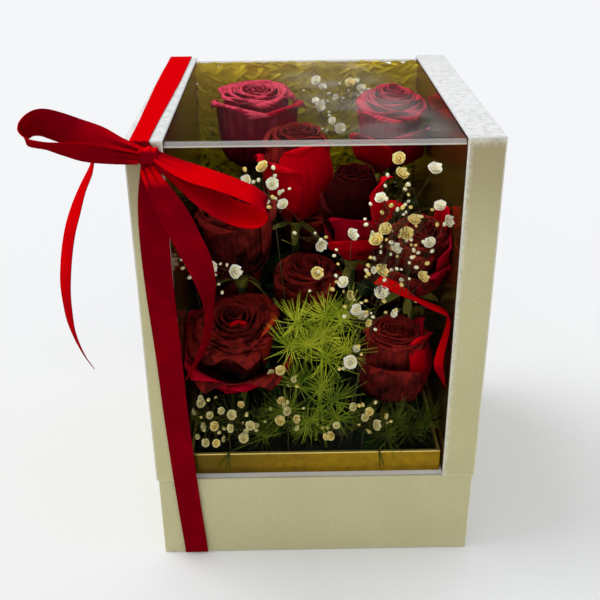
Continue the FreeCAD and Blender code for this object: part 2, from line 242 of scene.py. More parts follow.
def times(first, second):
    return addMath("MULTIPLY", first, second)


# A noise value about its middle, times an amount.
def addSwing(value, amount):
    return times(addMath("SUBTRACT", value, 0.5), amount)


# Smooth step of a value, from 0 at low to 1 at high.
def addRange(value, low, high):
    node = addNode(value.id_data, "MapRange", interpolation_type="SMOOTHSTEP")
    feed(node.inputs["Value"], value)
    feed(node.inputs["From Min"], low)
    feed(node.inputs["From Max"], high)
    return node.outputs[0]


def addNoise(vector, scale, detail):
    node = addNode(vector.id_data, "TexNoise")
    feed(node.inputs["Vector"], vector)
    feed(node.inputs["Scale"], scale)
    feed(node.inputs["Detail"], detail)
    return node.outputs[0]


def addMix(factor, first, second):
    node = addNode(factor.id_data, "Mix", data_type="RGBA")
    feed(node.inputs["Factor"], factor)
    feed(node.inputs[6], first)  # its colour sockets share their names with others
    feed(node.inputs[7], second)
    return node.outputs[2]


# Colour stops over a 0 to 1 value.
def addRamp(value, *stops):
    node = addNode(value.id_data, "ValToRGB")
    elements = node.color_ramp.elements
    while len(elements) < len(stops):
        elements.new(0.5)
    for element, (place, colour) in zip(elements, stops):
        element.position = place
        element.color = (*colour, 1)
    feed(node.inputs[0], value)
    return node.outputs[0]


def addBump(height, strength, distance):
    node = addNode(height.id_data, "Bump")
    feed(node.inputs["Strength"], strength)
    feed(node.inputs["Distance"], distance)
    feed(node.inputs["Height"], height)
    return node.outputs[0]


def addAxes(vector):
    node = addNode(vector.id_data, "SeparateXYZ")
    feed(node.inputs[0], vector)
    return node.outputs


def objectPlace(tree):
    return addNode(tree, "TexCoord").outputs["Object"]


def ownMap(tree):
    return addAxes(addNode(tree, "UVMap").outputs[0])


def faceNormal(tree):
    return addNode(tree, "NewGeometry").outputs["Normal"]


# Shared effects, as shader node groups.
def newGroup(name, label, value, *results):
    group = bpy.data.node_groups.new(name, "ShaderNodeTree")
    socket = group.interface.new_socket(label, in_out="INPUT", socket_type="NodeSocketFloat")
    socket.default_value = value
    for result in results:
        group.interface.new_socket(result, in_out="OUTPUT", socket_type="NodeSocketFloat")
    start = group.nodes.new("NodeGroupInput")
    end = group.nodes.new("NodeGroupOutput")
    return group, start.outputs[label], end.inputs


# Fine mottle and fibre of coated paper: Scale in grains to the metre.
paperGrain, scale, end = newGroup("paperGrain", "Scale", 900, "Mottle", "Height")
place = objectPlace(paperGrain)
fine = addNoise(place, scale, 4)
broad = addNoise(place, times(scale, 0.03), 2)
feed(end["Mottle"], addMath("ADD", times(fine, 0.6), times(broad, 0.4)))
feed(end["Height"], fine)

# A petal or leaf by its own UV: Along runs from foot to tip, Veins across, and Mottle goes by place.
leafSurface, veins, end = newGroup("leafSurface", "Veins", 26, "Along", "Veins", "Mottle")
uv = ownMap(leafSurface)
feed(end["Along"], uv["Y"])
fan = times(uv["X"], veins)
feed(end["Veins"], addMath("SINE", addMath("ADD", fan, times(uv["Y"], 3))))
feed(end["Mottle"], addNoise(objectPlace(leafSurface), 90, 3))

# Satin by its own UV: Weave is the fine rib across the ribbon, Streak the long soft bands of painted sheen.
satinSurface, ribs, end = newGroup("satinSurface", "Ribs", 900, "Weave", "Streak")
feed(end["Weave"], addMath("SINE", times(ownMap(satinSurface)["Y"], ribs)))
feed(end["Streak"], addNoise(objectPlace(satinSurface), 60, 2))

# Painted reflection haze on clear plastic, by place: none at the sides, up to Most right of the middle, in
# cloudy patches.
reflectionHazeCover, most, end = newGroup("reflectionHazeCover", "Most", 0.1, "Cover")
place = objectPlace(reflectionHazeCover)
sides = addAxes(place)
cloud = addMath("ADD", times(addRange(addNoise(place, 22, 3), 0.38, 0.6), 0.8), 0.2)
slant = addMath("ADD", sides["X"], times(sides["Y"], 0.25))
rise = addRange(slant, -30 * mm, 30 * mm)
fall = addRange(slant, 70 * mm, 40 * mm)
feed(end["Cover"], times(times(times(rise, fall), cloud), most))


def surfaceOf(material):
    return material.node_tree.nodes["Principled BSDF"].inputs


def newMaterial(name, colour, rough, **settings):
    material = bpy.data.materials.new(name)
    material.use_nodes = True
    surface = surfaceOf(material)
    feed(surface["Base Color"], colour)
    feed(surface["Roughness"], rough)
    for key, value in settings.items():
        feed(surface[key.replace("_", " ")], value)
    return material


def colourOf(material):
    return surfaceOf(material)["Base Color"].links[0].from_socket


def recolour(material, colour):
    feed(surfaceOf(material)["Base Color"], colour)


def roughen(material, height, strength, distance):
    feed(surfaceOf(material)["Normal"], addBump(height, strength, distance))


def useGroup(material, group, **inputs):
    node = addNode(material.node_tree, "Group", node_tree=group)
    for key, value in inputs.items():
        feed(node.inputs[key], value)
    return node.outputs


def paperMaterial(name, low, high, rough, scale, strength, **settings):
    material = newMaterial(name, high, rough, **settings)
    grain = useGroup(material, paperGrain, Scale=scale)
    recolour(material, addRamp(grain["Mottle"], (0.3, low), (0.7, high)))
    roughen(material, grain["Height"], strength, 0.2 * mm)
    return material


def petalMaterial(name, foot, body, rim, rough=0.5, mottle=0.6):
    material = newMaterial(name, body, rough, Specular_IOR_Level=0.0, Sheen_Weight=0.04, Sheen_Roughness=0.4,
                           Sheen_Tint=(1, 0.12, 0.18))
    leaf = useGroup(material, leafSurface, Veins=60)
    streaked = addMath("ADD", leaf["Along"], times(leaf["Veins"], 0.05))
    value = addMath("ADD", streaked, addSwing(leaf["Mottle"], mottle))
    # Painted shade in the dark foot of each petal, painted highlight in its bright rim.
    recolour(material, addRamp(value, (0.05, foot), (0.45, body), (0.9, rim), (1.0, body)))
    roughen(material, leaf["Veins"], 0.12, 0.3 * mm)
    return material


def leafMaterial(name, low, high, rough=0.5):
    material = newMaterial(name, low, rough, Specular_IOR_Level=0.1)
    leaf = useGroup(material, leafSurface, Veins=70)
    recolour(material, addRamp(leaf["Mottle"], (0.35, low), (0.7, high)))
    roughen(material, leaf["Veins"], 0.2, 0.3 * mm)
    return material


def blossomMaterial(name, heart, body, tip):
    material = newMaterial(name, tip, 0.55, Specular_IOR_Level=0.2)
    leaf = useGroup(material, leafSurface)
    recolour(material, addRamp(leaf["Along"], (0.25, heart), (0.62, body), (0.92, tip)))
    return material


# Pearl paper: beige from the front, with a painted silver reflection in its colour where it is seen aslant.
def pearlMaterial(name):
    material = paperMaterial(name, (0.56, 0.535, 0.335), (0.66, 0.63, 0.40), 0.36, 900, 0.25,
                             Specular_IOR_Level=0.6, Coat_Weight=0.2, Coat_Roughness=0.25)
    # Painted reflection: silver mixed into the colour by how aslant the face is seen.
    paintedSheenShare = addRange(addNode(material.node_tree, "LayerWeight").outputs["Facing"], 0.3, 0.72)
    grain = useGroup(material, paperGrain, Scale=420)
    paintedSilver = addRamp(grain["Mottle"], (0.36, (0.74, 0.75, 0.77)), (0.52, (0.92, 0.92, 0.92)))
    recolour(material, addMix(paintedSheenShare, colourOf(material), paintedSilver))
    return material


pearlPaper = pearlMaterial("pearlPaper")
pearlFrame = pearlMaterial("pearlFrame")

# Painted shade browns the frames' fronts near the top; painted silver highlights their inner and top edges.
framePaintedLight = {"shadeFrom": frameTop - 73 * mm, "shadeTo": frameTop - 6 * mm, "paintedShade": (0.36, 0.29, 0.16),
             "innerEdge": 4 * mm, "highlightFrom": frameTop - 6.5 * mm, "highlightTo": frameTop - 0.5 * mm}
place = objectPlace(pearlFrame.node_tree)
axes = addAxes(place)
ahead = addRange(addAxes(faceNormal(pearlFrame.node_tree))["Y"], -0.3, -0.8)
# Painted shade: the fronts darken to brown towards the top.
shadeUp = times(addRange(axes["Z"], framePaintedLight["shadeFrom"], framePaintedLight["shadeTo"]), ahead)
paintedShade = addMix(times(shadeUp, 0.75), colourOf(pearlFrame), framePaintedLight["paintedShade"])
inner = addRange(addMath("ABSOLUTE", axes["X"]), innerFace + framePaintedLight["innerEdge"], innerFace)
top = addRange(axes["Z"], framePaintedLight["highlightFrom"], framePaintedLight["highlightTo"])
grain = useGroup(pearlFrame, paperGrain, Scale=500)
# Painted highlight: silver along the inner and top edges, in patches.
paintedEdgeShine = times(addMath("MAXIMUM", inner, top), addRange(grain["Mottle"], 0.3, 0.55))
paintedSilver = addRamp(addNoise(place, 300, 2), (0.38, (0.60, 0.60, 0.58)), (0.55, (0.85, 0.85, 0.85)))
recolour(pearlFrame, addMix(times(paintedEdgeShine, 0.85), paintedShade, paintedSilver))

# Painted highlight: a near-white paper for the frames' bevelled edges.
paintedBevelHighlight = paperMaterial("paintedBevelHighlight", (0.62, 0.62, 0.62), (0.95, 0.95, 0.95), 0.3, 600, 0.3)
whitePaper = paperMaterial("whitePaper", (0.90, 0.93, 0.99), (0.95, 0.97, 1.0), 0.4, 800, 0.1)
innerGold = paperMaterial("innerGold", (0.24, 0.12, 0.016), (0.42, 0.21, 0.03), 0.17, 300, 0.08,
                          Metallic=0.85)
wetFoam = paperMaterial("wetFoam", (0.004, 0.007, 0.003), (0.010, 0.015, 0.006), 0.9, 2200, 0.8)
linerFilm = newMaterial("linerFilm", (0.02, 0.03, 0.02), 0.3)
tapeFilm = newMaterial("tapeFilm", (0.75, 0.74, 0.68), 0.4)

# Gold foil: painted shade dims it to the left, and a painted highlight runs along the collar's top edge.
goldFoil = paperMaterial("goldFoil", (0.20, 0.115, 0.001), (0.38, 0.22, 0.002), 0.34, 260, 0.2, Metallic=0.8)
foilPaintedLight = {"dimFrom": 10 * mm, "dimTo": -80 * mm, "dim": (0.12, 0.072, 0.001), "edge": (0.95, 0.74, 0.22),
            "edgeFrom": collarHigh.z - 0.9 * mm, "edgeTo": collarHigh.z - 0.5 * mm}
axes = addAxes(objectPlace(goldFoil.node_tree))
leftward = addRange(axes["X"], foilPaintedLight["dimFrom"], foilPaintedLight["dimTo"])
upEdge = addRange(axes["Z"], foilPaintedLight["edgeFrom"], foilPaintedLight["edgeTo"])
recolour(goldFoil, addMix(upEdge, addMix(leftward, colourOf(goldFoil), foilPaintedLight["dim"]), foilPaintedLight["edge"]))

# Petals by the colours of their foot, body and rim, leaves by two shades, blossoms from heart to tip.
petalDark = petalMaterial("petalDark", (0.006, 0.002, 0.001), (0.070, 0.007, 0.006), (0.25, 0.016, 0.012),
                          mottle=1.6)
petalBlack = petalMaterial("petalBlack", (0.003, 0.001, 0.001), (0.012, 0.001, 0.001), (0.05, 0.004, 0.004))
petalPlum = petalMaterial("petalPlum", (0.04, 0.001, 0.005), (0.24, 0.001, 0.022), (0.66, 0.060, 0.105))
petalRose = petalMaterial("petalRose", (0.05, 0.0, 0.004), (0.24, 0.0, 0.016), (0.56, 0.026, 0.056))
# Painted light: brighter copies of the petal colour for single petals, as if the sun fell on them.
petalPaintedLitCrimson = petalMaterial("petalPaintedLitCrimson", (0.05, 0.0, 0.003), (0.22, 0.0, 0.008), (0.40, 0.002, 0.016))
petalPaintedLit = petalMaterial("petalPaintedLit", (0.18, 0.0, 0.003), (0.46, 0.0, 0.006), (0.60, 0.002, 0.008),
                            rough=0.45)
petalPaintedLitOrange = petalMaterial("petalPaintedLitOrange", (0.12, 0.004, 0.002), (0.30, 0.020, 0.006), (0.46, 0.045, 0.012))
stemGreen = leafMaterial("stemGreen", (0.018, 0.05, 0.010), (0.04, 0.09, 0.018))
leafDark = leafMaterial("leafDark", (0.006, 0.020, 0.005), (0.014, 0.040, 0.010), 0.45)
cupOlive = leafMaterial("cupOlive", (0.10, 0.11, 0.012), (0.22, 0.20, 0.03))
fernBright = leafMaterial("fernBright", (0.24, 0.34, 0.012), (0.62, 0.66, 0.045))
fernMid = leafMaterial("fernMid", (0.07, 0.14, 0.008), (0.34, 0.42, 0.025))
fernDark = leafMaterial("fernDark", (0.012, 0.020, 0.003), (0.12, 0.15, 0.010))
sprigStem = newMaterial("sprigStem", (0.06, 0.045, 0.016), 0.5, Specular_IOR_Level=0.1)
blossomWhite = blossomMaterial("blossomWhite", (0.42, 0.36, 0.02), (0.88, 0.80, 0.36), (0.97, 0.96, 0.90))
blossomCream = blossomMaterial("blossomCream", (0.34, 0.20, 0.008), (0.76, 0.50, 0.03), (0.96, 0.86, 0.40))
blossomPale = blossomMaterial("blossomPale", (0.30, 0.28, 0.015), (0.62, 0.54, 0.10), (0.90, 0.83, 0.48))

# Painted shade and light: the back spray goes from dark at the foam to yellow-green higher up, in fine
# patches.
fernBack = newMaterial("fernBack", (0.2, 0.2, 0.03), 0.55, Specular_IOR_Level=0.1)
leaf = useGroup(fernBack, leafSurface)
place = objectPlace(fernBack.node_tree)
# Painted shade and light: darker low, brighter yellow-green high.
rise = times(addMath("SUBTRACT", addAxes(place)["Z"], foamHigh.z), 0.8 / roomHeight)
shade = addMath("ADD", rise, addSwing(addNoise(place, 280, 2), 0.55))
shade = addMath("ADD", shade, addSwing(leaf["Mottle"], 0.3))
recolour(fernBack, addRamp(shade, (0.34, (0.006, 0.010, 0.002)), (0.45, (0.12, 0.11, 0.003)),
                           (0.56, (0.56, 0.46, 0.006)), (0.95, (0.66, 0.47, 0.014))))

# Satin with painted light: deep red where its face turns from the sun, brighter where it turns to the sun.
sunWay = Vector((-0.5, 0.12, 0.85)).normalized()
redSatin = newMaterial("redSatin", (0.4, 0.0, 0.006), 0.36, Metallic=0.2, Specular_IOR_Level=0.0,
                       Specular_Tint=(1, 0.02, 0.02))
satin = useGroup(redSatin, satinSurface)
facing = addNode(redSatin.node_tree, "VectorMath", operation="DOT_PRODUCT")
feed(facing.inputs[0], faceNormal(redSatin.node_tree))
facing.inputs[1].default_value = sunWay
# Painted light: the colour brightens with how far the face turns to the sun.
lift = addMath("MAXIMUM", facing.outputs["Value"], 0)
# Painted sheen: the streaks brighten the colour in long soft bands.
recolour(redSatin, addRamp(addMath("ADD", lift, addSwing(satin["Streak"], 0.35)), (0.0, (0.20, 0.0, 0.007)),
                           (0.3, (0.46, 0.0, 0.006)), (0.6, (0.74, 0.0, 0.003))))
roughen(redSatin, satin["Weave"], 0.05, 0.1 * mm)

# Clear plastic: light passes it, and its shadow is clear.
clearSheet = newMaterial("clearSheet", (0.985, 0.985, 0.97), 0.02, IOR=1.012, Transmission_Weight=1.0)
tree = clearSheet.node_tree
through = addNode(tree, "BsdfTransparent")
feed(through.inputs["Color"], (0.96, 0.96, 0.96))
choose = addNode(tree, "MixShader")
feed(choose.inputs[0], addNode(tree, "LightPath").outputs["Is Shadow Ray"])
feed(choose.inputs[1], tree.nodes["Principled BSDF"].outputs[0])
feed(choose.inputs[2], through.outputs[0])
feed(tree.nodes["Material Output"].inputs["Surface"], choose.outputs[0])

# Fold marks are milkiest low on the fold, partly painted highlight; painted haze covers part of the sheet's
# top.
milkyFold = newMaterial("milkyFold", (0.82, 0.80, 0.78), 0.4, Specular_IOR_Level=0.1)
milk = [(place, (cover, cover, cover)) for place, cover in (
    (0.0, 0.2), (0.05, 0.75), (0.16, 0.7), (0.26, 0.26), (1.0, 0.2))]
feed(surfaceOf(milkyFold)["Alpha"], addRamp(useGroup(milkyFold, leafSurface)["Along"], *milk))
paintedReflectionHaze = newMaterial("paintedReflectionHaze", (0.62, 0.62, 0.60), 0.6, Specular_IOR_Level=0.0)
feed(surfaceOf(paintedReflectionHaze)["Alpha"], useGroup(paintedReflectionHaze, reflectionHazeCover, Most=0.13)["Cover"])
print("materials made")

# CAD nodes that are shown as they are, with their finish.
shown = {
    "base_deck": whitePaper, "collar_front": goldFoil, "collar_back": goldFoil, "collar_left": goldFoil,
    "collar_right": goldFoil, "waterproof_liner": linerFilm, "floral_foam": wetFoam,
    "left_inner_board": innerGold, "right_inner_board": innerGold, "clear_window": clearSheet,
    "band_tape_pads": tapeFilm,
}
for name, material in shown.items():
    paint(nodes[name], material)


# A board box of a CAD node's size, hollowed from the side that looks the given way.
def hollowBox(name, node, way, wall, floor):
    low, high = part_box(node)
    deselectAll()
    bpy.ops.mesh.primitive_cube_add(size=1, location=(low + high) / 2, scale=high - low)
    bpy.ops.object.transform_apply(location=True, rotation=True, scale=True)
    box = bpy.context.object
    box.name = name
    selectFaces(box, lambda face: face.normal.dot(way) > 0.9)
    bpy.ops.mesh.inset(thickness=wall, depth=0)
    deep = abs((high - low).dot(way)) - floor
    bpy.ops.mesh.extrude_region_move(TRANSFORM_OT_translate={"value": tuple(-deep * way)})
    bpy.ops.object.mode_set(mode="OBJECT")
    return box


# Base tray: a wrapped board box, open at the top, its edges softened by the paper.
baseTray = {"wall": 2.5 * mm, "floor": 3 * mm, "edge": 0.8 * mm}
tray = hollowBox("base_tray", "base_box", Vector((0, 0, 1)), baseTray["wall"], baseTray["floor"])
applyModifier(tray, "BEVEL", width=baseTray["edge"], segments=3, limit_method="ANGLE")
shadeSmooth(tray, 40)
paint(tray, pearlPaper)
dress(tray, "base", "pearl_paper", "base_box")

# Side frames: wrapped hollow frames, open towards the flowers where the inner boards close them.
sideFrame = {"wall": 2 * mm, "edge": 0.95 * mm}
for side, facing in (("left", 1), ("right", -1)):
    node = side + "_side_shell"
    shell = hollowBox(side + "_frame", node, Vector((facing, 0, 0)), sideFrame["wall"], sideFrame["wall"])
    paint(shell, pearlFrame, paintedBevelHighlight)
    # The bevels take the second material, a painted highlight along the edges.
    applyModifier(shell, "BEVEL", width=sideFrame["edge"], segments=3, limit_method="ANGLE", material=1)
    shadeSmooth(shell, 40)
    dress(shell, "cover", "pearl_paper", node)
print("box modelled")

# Milky stress marks where the clear sheet is folded over its top edges, partly painted highlight.
foldMark = {"radius": 3 * mm, "lift": 0.12 * mm, "thick": 0.1 * mm, "from": 8, "to": 82, "sideGap": 0.3 * mm}
for side, facing in (("front", -1), ("back", 1)):
    mark = newGrid("fold_mark_" + side, 60, 14)

    def foldPlace(u, v):
        reach = foldMark["radius"] + foldMark["lift"]
        turn = math.radians(mix(foldMark["from"], foldMark["to"], v))
        y = facing * (windowHigh.y - foldMark["radius"] + reach * math.cos(turn))
        z = windowHigh.z - foldMark["radius"] + reach * math.sin(turn)
        return Vector((u * (innerFace - foldMark["sideGap"]), y, z))

    shapeGrid(mark, foldPlace)
    thicken(mark, foldMark["thick"])
    shadeSmooth(mark)
    paint(mark, milkyFold)
    dress(mark, "cover", "clear_sheet")

# Painted grey reflection haze on the top of the clear sheet, thickest right of the middle.
hazeLayout = {"lift": 0.12 * mm, "thick": 0.1 * mm, "sideGap": 0.5 * mm, "edgeGap": 4 * mm}
reflectionHaze = newGrid("sheet_reflection_haze", 8, 8)


def hazePlace(u, v):
    x = u * (innerFace - hazeLayout["sideGap"])
    y = (2 * v - 1) * (windowHigh.y - hazeLayout["edgeGap"])
    return Vector((x, y, windowHigh.z + hazeLayout["lift"]))


shapeGrid(reflectionHaze, hazePlace)
thicken(reflectionHaze, hazeLayout["thick"])
paint(reflectionHaze, paintedReflectionHaze)
dress(reflectionHaze, "cover", "clear_sheet")

# Ribbon. Steps of a route are x, y, z, then the turn in degrees and the width in mm.
ribbon = {"width": 15 * mm, "columns": 12, "thick": 0.35 * mm, "bandThick": 0.3 * mm, "pleats": 7.5}
bowForm = {"sections": 110, "cup": 0.03, "pleat": 1.5 * mm}
streamerForm = {"sections": 100, "cup": 0.04, "pleat": 0}
ribbonWidth = ribbon["width"]
knotLow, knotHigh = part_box("ribbon_knot")
knotMiddle = (knotLow + knotHigh) / 2


# A smooth line through the steps of a route, at a share of its steps.
def routeAt(route, share):
    span = share * (len(route) - 1)
    first = min(int(span), len(route) - 2)
    t = span - first
    near = (route[max(0, min(len(route) - 1, first + step))] for step in (-1, 0, 1, 2))
    return [0.5 * (2 * q + (r - p) * t + (2 * p - 5 * q + 4 * r - s) * t * t
                   + (3 * q - p - 3 * r + s) * t ** 3) for p, q, r, s in zip(*near)]


def satinStrip(name, sections, place, thick, angle):
    strip = newGrid(name, ribbon["columns"], sections)
    shapeGrid(strip, place)
    thicken(strip, thick)
    shadeSmooth(strip, angle)
    paint(strip, redSatin)
    return strip


def lengthOf(points):
    return sum((after - before).length for before, after in zip(points, points[1:]))


# A ribbon along a strip's route, where spotOf finds a step's place. Its turn goes from its first way across
# to its second. It is pleated where it is narrow, but not towards the free end of a loose one.
def ribbonPiece(name, strip, spotOf, form, loose=False):
    near = 0.004
    sections = form["sections"]
    across = strip["across"]
    route = [[*spotOf(step[:3]), step[3], step[4] * mm] for step in strip["route"]]
    rows = []
    for step in range(sections + 1):
        share = step / sections
        here = routeAt(route, share)
        before = Vector(routeAt(route, max(0, share - near))[:3])
        ahead = (Vector(routeAt(route, min(1, share + near))[:3]) - before).normalized()
        turn = math.radians(here[3])
        wide = across[0] * math.cos(turn) + across[1] * math.sin(turn)
        wide = (wide - ahead * wide.dot(ahead)).normalized()
        rows.append((Vector(here[:3]), wide, ahead.cross(wide), here[4]))

    def stripPlace(u, v):
        middle, wide, face, width = rows[round(v * sections)]
        narrow = max(0, 1 - width / ribbonWidth) * (1 - smooth(0.3, 0.5, v) if loose else 1)
        wave = form["pleat"] * narrow * math.sin(u * ribbon["pleats"] + 0.6)
        return middle + wide * (u * width / 2) + face * (form["cup"] * width * (u * u - 0.33) + wave)

    piece = satinStrip(name, sections, stripPlace, ribbon["thick"], 60)
    return piece, lengthOf([row[0] for row in rows])


def bowSpot(step):
    return knotMiddle + Vector(step) * ribbonWidth


# Bow: routes in ribbon widths from the knot.
loopAcross = (Vector((0, 0.45, 0.89)), Vector((0, -0.89, 0.45)))
leftTailAcross = (Vector((-0.24, 0.97, 0)), Vector((-0.97, -0.24, 0)))
rightTailAcross = (Vector((1, 0, 0)), Vector((0, 1, 0)))
bow = {
    "bow_left_loop": {"held": "gathered", "across": loopAcross, "route": [
        (-0.29, -0.14, 0.17, 10, 7), (-0.95, -0.10, 0.33, 8, 11), (-1.63, 0, 0.55, 8, 15),
        (-2.34, 0.07, 0.80, 10, 15), (-2.97, 0.07, 1.04, 20, 15), (-3.46, 0, 1.20, 36, 15),
        (-3.82, -0.17, 1.15, 54, 15), (-4.05, -0.40, 0.91, 70, 15), (-3.80, -0.64, 0.74, 80, 14),
        (-3.25, -0.76, 0.64, 80, 13), (-2.64, -0.70, 0.50, 70, 14), (-1.99, -0.58, 0.34, 58, 14),
        (-1.19, -0.40, 0.15, 50, 11), (-0.29, -0.23, -0.02, 40, 7)]},
    "bow_right_loop": {"held": "gathered", "across": loopAcross, "route": [
        (0.30, -0.13, 0.02, -34, 7), (0.78, -0.23, -0.24, -38, 11), (1.44, -0.33, -0.52, -42, 15),
        (2.25, -0.40, -0.78, -43, 15), (3.06, -0.43, -1.09, -43, 15), (3.67, -0.47, -1.39, -43, 15),
        (4.00, -0.47, -1.76, -40, 15), (3.68, -0.47, -2.08, -32, 15), (2.85, -0.40, -1.94, -22, 15),
        (1.90, -0.33, -1.34, -16, 15), (1.05, -0.23, -0.68, -18, 11), (0.30, -0.13, -0.16, -24, 7)]},
    "ribbon_left_tail": {"held": "hung", "across": leftTailAcross, "route": [
        (-0.34, -0.14, 0.06, 0, 5), (-0.90, -0.26, 0.22, 0, 6), (-1.45, -0.16, 0.26, 0, 8),
        (-1.84, 0.02, 0.04, 2, 11), (-2.06, 0.14, -0.52, 2, 14), (-2.42, 0.20, -1.20, 6, 15),
        (-2.75, 0.20, -1.95, 14, 15), (-3.04, 0.20, -2.70, 17, 15), (-3.26, 0.20, -3.50, 19, 15),
        (-3.42, 0.20, -4.30, 20, 15), (-3.53, 0.20, -5.10, 20, 15), (-3.55, 0.20, -5.90, 18, 15),
        (-3.51, 0.20, -6.70, 16, 14.5), (-3.34, 0.20, -7.45, 15, 13), (-3.10, 0.20, -8.08, 15, 9),
        (-2.83, 0.20, -8.57, 15, 1)]},
    "ribbon_right_tail": {"held": "hung", "across": rightTailAcross, "route": [
        (-0.08, -0.16, -0.39, 14, 7), (0.31, -0.63, -0.90, 12, 11), (0.81, -0.64, -1.93, 14, 15),
        (1.21, -0.61, -2.87, 20, 15), (1.57, -0.57, -3.80, 34, 15), (1.80, -0.55, -4.73, 58, 15),
        (1.83, -0.55, -5.70, 76, 15), (1.67, -0.55, -6.75, 72, 15), (1.30, -0.51, -7.75, 66, 11),
        (0.77, -0.44, -8.75, 62, 0.8)]},
}
for node, strip in bow.items():
    piece, length = ribbonPiece(node + "_satin", strip, bowSpot, bowForm, strip["held"] == "hung")
    dress(piece, "cover", "red_satin", node)

# Knot: the ribbon wrapped once round the pinched bow, drawn in at its waist and creased along.
knot = {"rings": 24, "sides": 32, "crease": 0.5 * mm, "square": 0.62, "waist": 0.93}
deselectAll()
bpy.ops.mesh.primitive_uv_sphere_add(segments=knot["sides"], ring_count=knot["rings"], radius=1)
wrap = bpy.context.object
wrap.name = "ribbon_knot_satin"
half = (knotHigh - knotLow) / 2


def knotPlace(at):
    x, y, z = (math.copysign(abs(value) ** knot["square"], value) for value in at)
    crease = knot["crease"] * math.sin(x * 9 + 0.8 * z) * (1 - abs(x) ** 6)
    place = Vector((x * half.x, y * half.y * knot["waist"], z * half.z * knot["waist"]))
    return knotMiddle + place + Vector((0, at.y, at.z)) * crease


for vertex in wrap.data.vertices:
    vertex.co = knotPlace(vertex.co.copy())
shadeSmooth(wrap)
paint(wrap, redSatin)
dress(wrap, "cover", "red_satin", "ribbon_knot")


# A flat run of the band through points of x, y, z and width, pleated where it is narrow.
def bandPiece(node, points):
    def bandPlace(u, v):
        x, y, z, width = points[round(v * (len(points) - 1))]
        pleat = (1 - width / ribbonWidth) * band["pleat"] * (1 + math.sin(u * ribbon["pleats"]))
        return Vector((x + u * width / 2, y - pleat, z))

    piece = satinStrip(node + "_satin", len(points) - 1, bandPlace, ribbon["bandThick"], 50)
    dress(piece, "cover", "red_satin", node)


# The run down the front of the left frame: its path is x and width in mm, from the top down.
band = {"gap": 0.2 * mm, "pleat": 1.1 * mm, "fold": 0.8 * mm, "bends": (0.4, 0.8, 1.2, 1.57), "path": [
    (-86.5, 8.5), (-87.1, 15.6), (-87.7, 16.2), (-87.2, 15.8), (-86.0, 15.2), (-85.0, 14.8), (-84.1, 14.6),
    (-82.8, 14.6), (-81.3, 14.6), (-79.6, 14.6), (-77.8, 14.6)]}
frontLow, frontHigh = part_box("ribbon_front")
bandFace = frontLow.y + band["gap"]
frontRun = []
for step in range(61):
    x, width = routeAt(band["path"], step / 60)
    out = bandFace + 0.12 * mm * math.sin(step * 0.5)
    frontRun.append((x * mm, out, mix(frontHigh.z, frontLow.z, step / 60), width * mm))
bandPiece("ribbon_front", frontRun)

# The run from the knot up over the top of the left frame and down its back.
over = {"knotX": -86.5 * mm, "edgeX": -91.2 * mm, "backX": -91 * mm, "rise": 0.4 * mm,
        "knotWidth": 8.5 * mm, "edgeWidth": 10 * mm, "topWidth": 10.2 * mm}
overLow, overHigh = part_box("ribbon_over")
bandLift = overHigh.z - band["gap"]
backFace = overHigh.y - band["gap"]
fold = band["fold"]
edgeX, backX, topWidth = over["edgeX"], over["backX"], over["topWidth"]
overRun = []
for step in range(5):
    share = step / 4
    z = mix(frontHigh.z + over["rise"], bandLift - fold, share)
    width = mix(over["knotWidth"], over["edgeWidth"], share)
    overRun.append((mix(over["knotX"], edgeX, share), bandFace, z, width))
for turn in band["bends"]:
    y = bandFace + fold * (1 - math.cos(turn))
    overRun.append((edgeX, y, bandLift - fold * (1 - math.sin(turn)), topWidth))
for step in range(1, 31):
    y = mix(bandFace + fold, backFace - fold, step / 30)
    z = bandLift + 0.1 * mm * math.sin(step * 0.9)
    overRun.append((mix(edgeX, backX, step / 30), y, z, mix(topWidth, ribbonWidth, smooth(0, 22, step))))
for turn in band["bends"]:
    y = backFace - fold * (1 - math.sin(turn))
    overRun.append((backX, y, bandLift - fold * (1 - math.cos(turn)), ribbonWidth))
for step in range(1, 31):
    overRun.append((backX, backFace, mix(bandLift - fold, overLow.z, step / 30), ribbonWidth))
bandPiece("ribbon_over", overRun)

# Streamer among the flowers: its route is in shares of the room.
streamer = {"width": 10 * mm, "across": (Vector((0, -1, 0)), Vector((0.6, 0, 0.8))), "route": [
    (0.475, -0.856, 0.589, -12, 10), (0.582, -0.905, 0.578, -14, 10), (0.676, -0.935, 0.563, -12, 9),
    (0.736, -0.945, 0.550, -2, 7), (0.852, -0.945, 0.527, 2, 10), (0.952, -0.945, 0.509, 2, 10),
    (1.008, -0.945, 0.491, 2, 10), (1.009, -0.950, 0.457, 2, 10), (0.989, -0.955, 0.417, 10, 10),
    (0.966, -0.955, 0.374, 32, 9), (0.956, -0.960, 0.332, 45, 8.5), (0.980, -0.965, 0.300, 40, 6),
    (1.015, -0.965, 0.264, 25, 1.2)]}
piece, length = ribbonPiece("inner_streamer_satin", streamer, spot, streamerForm)
dress(piece, "base", "red_satin", "inner_streamer")
print("ribbon modelled")

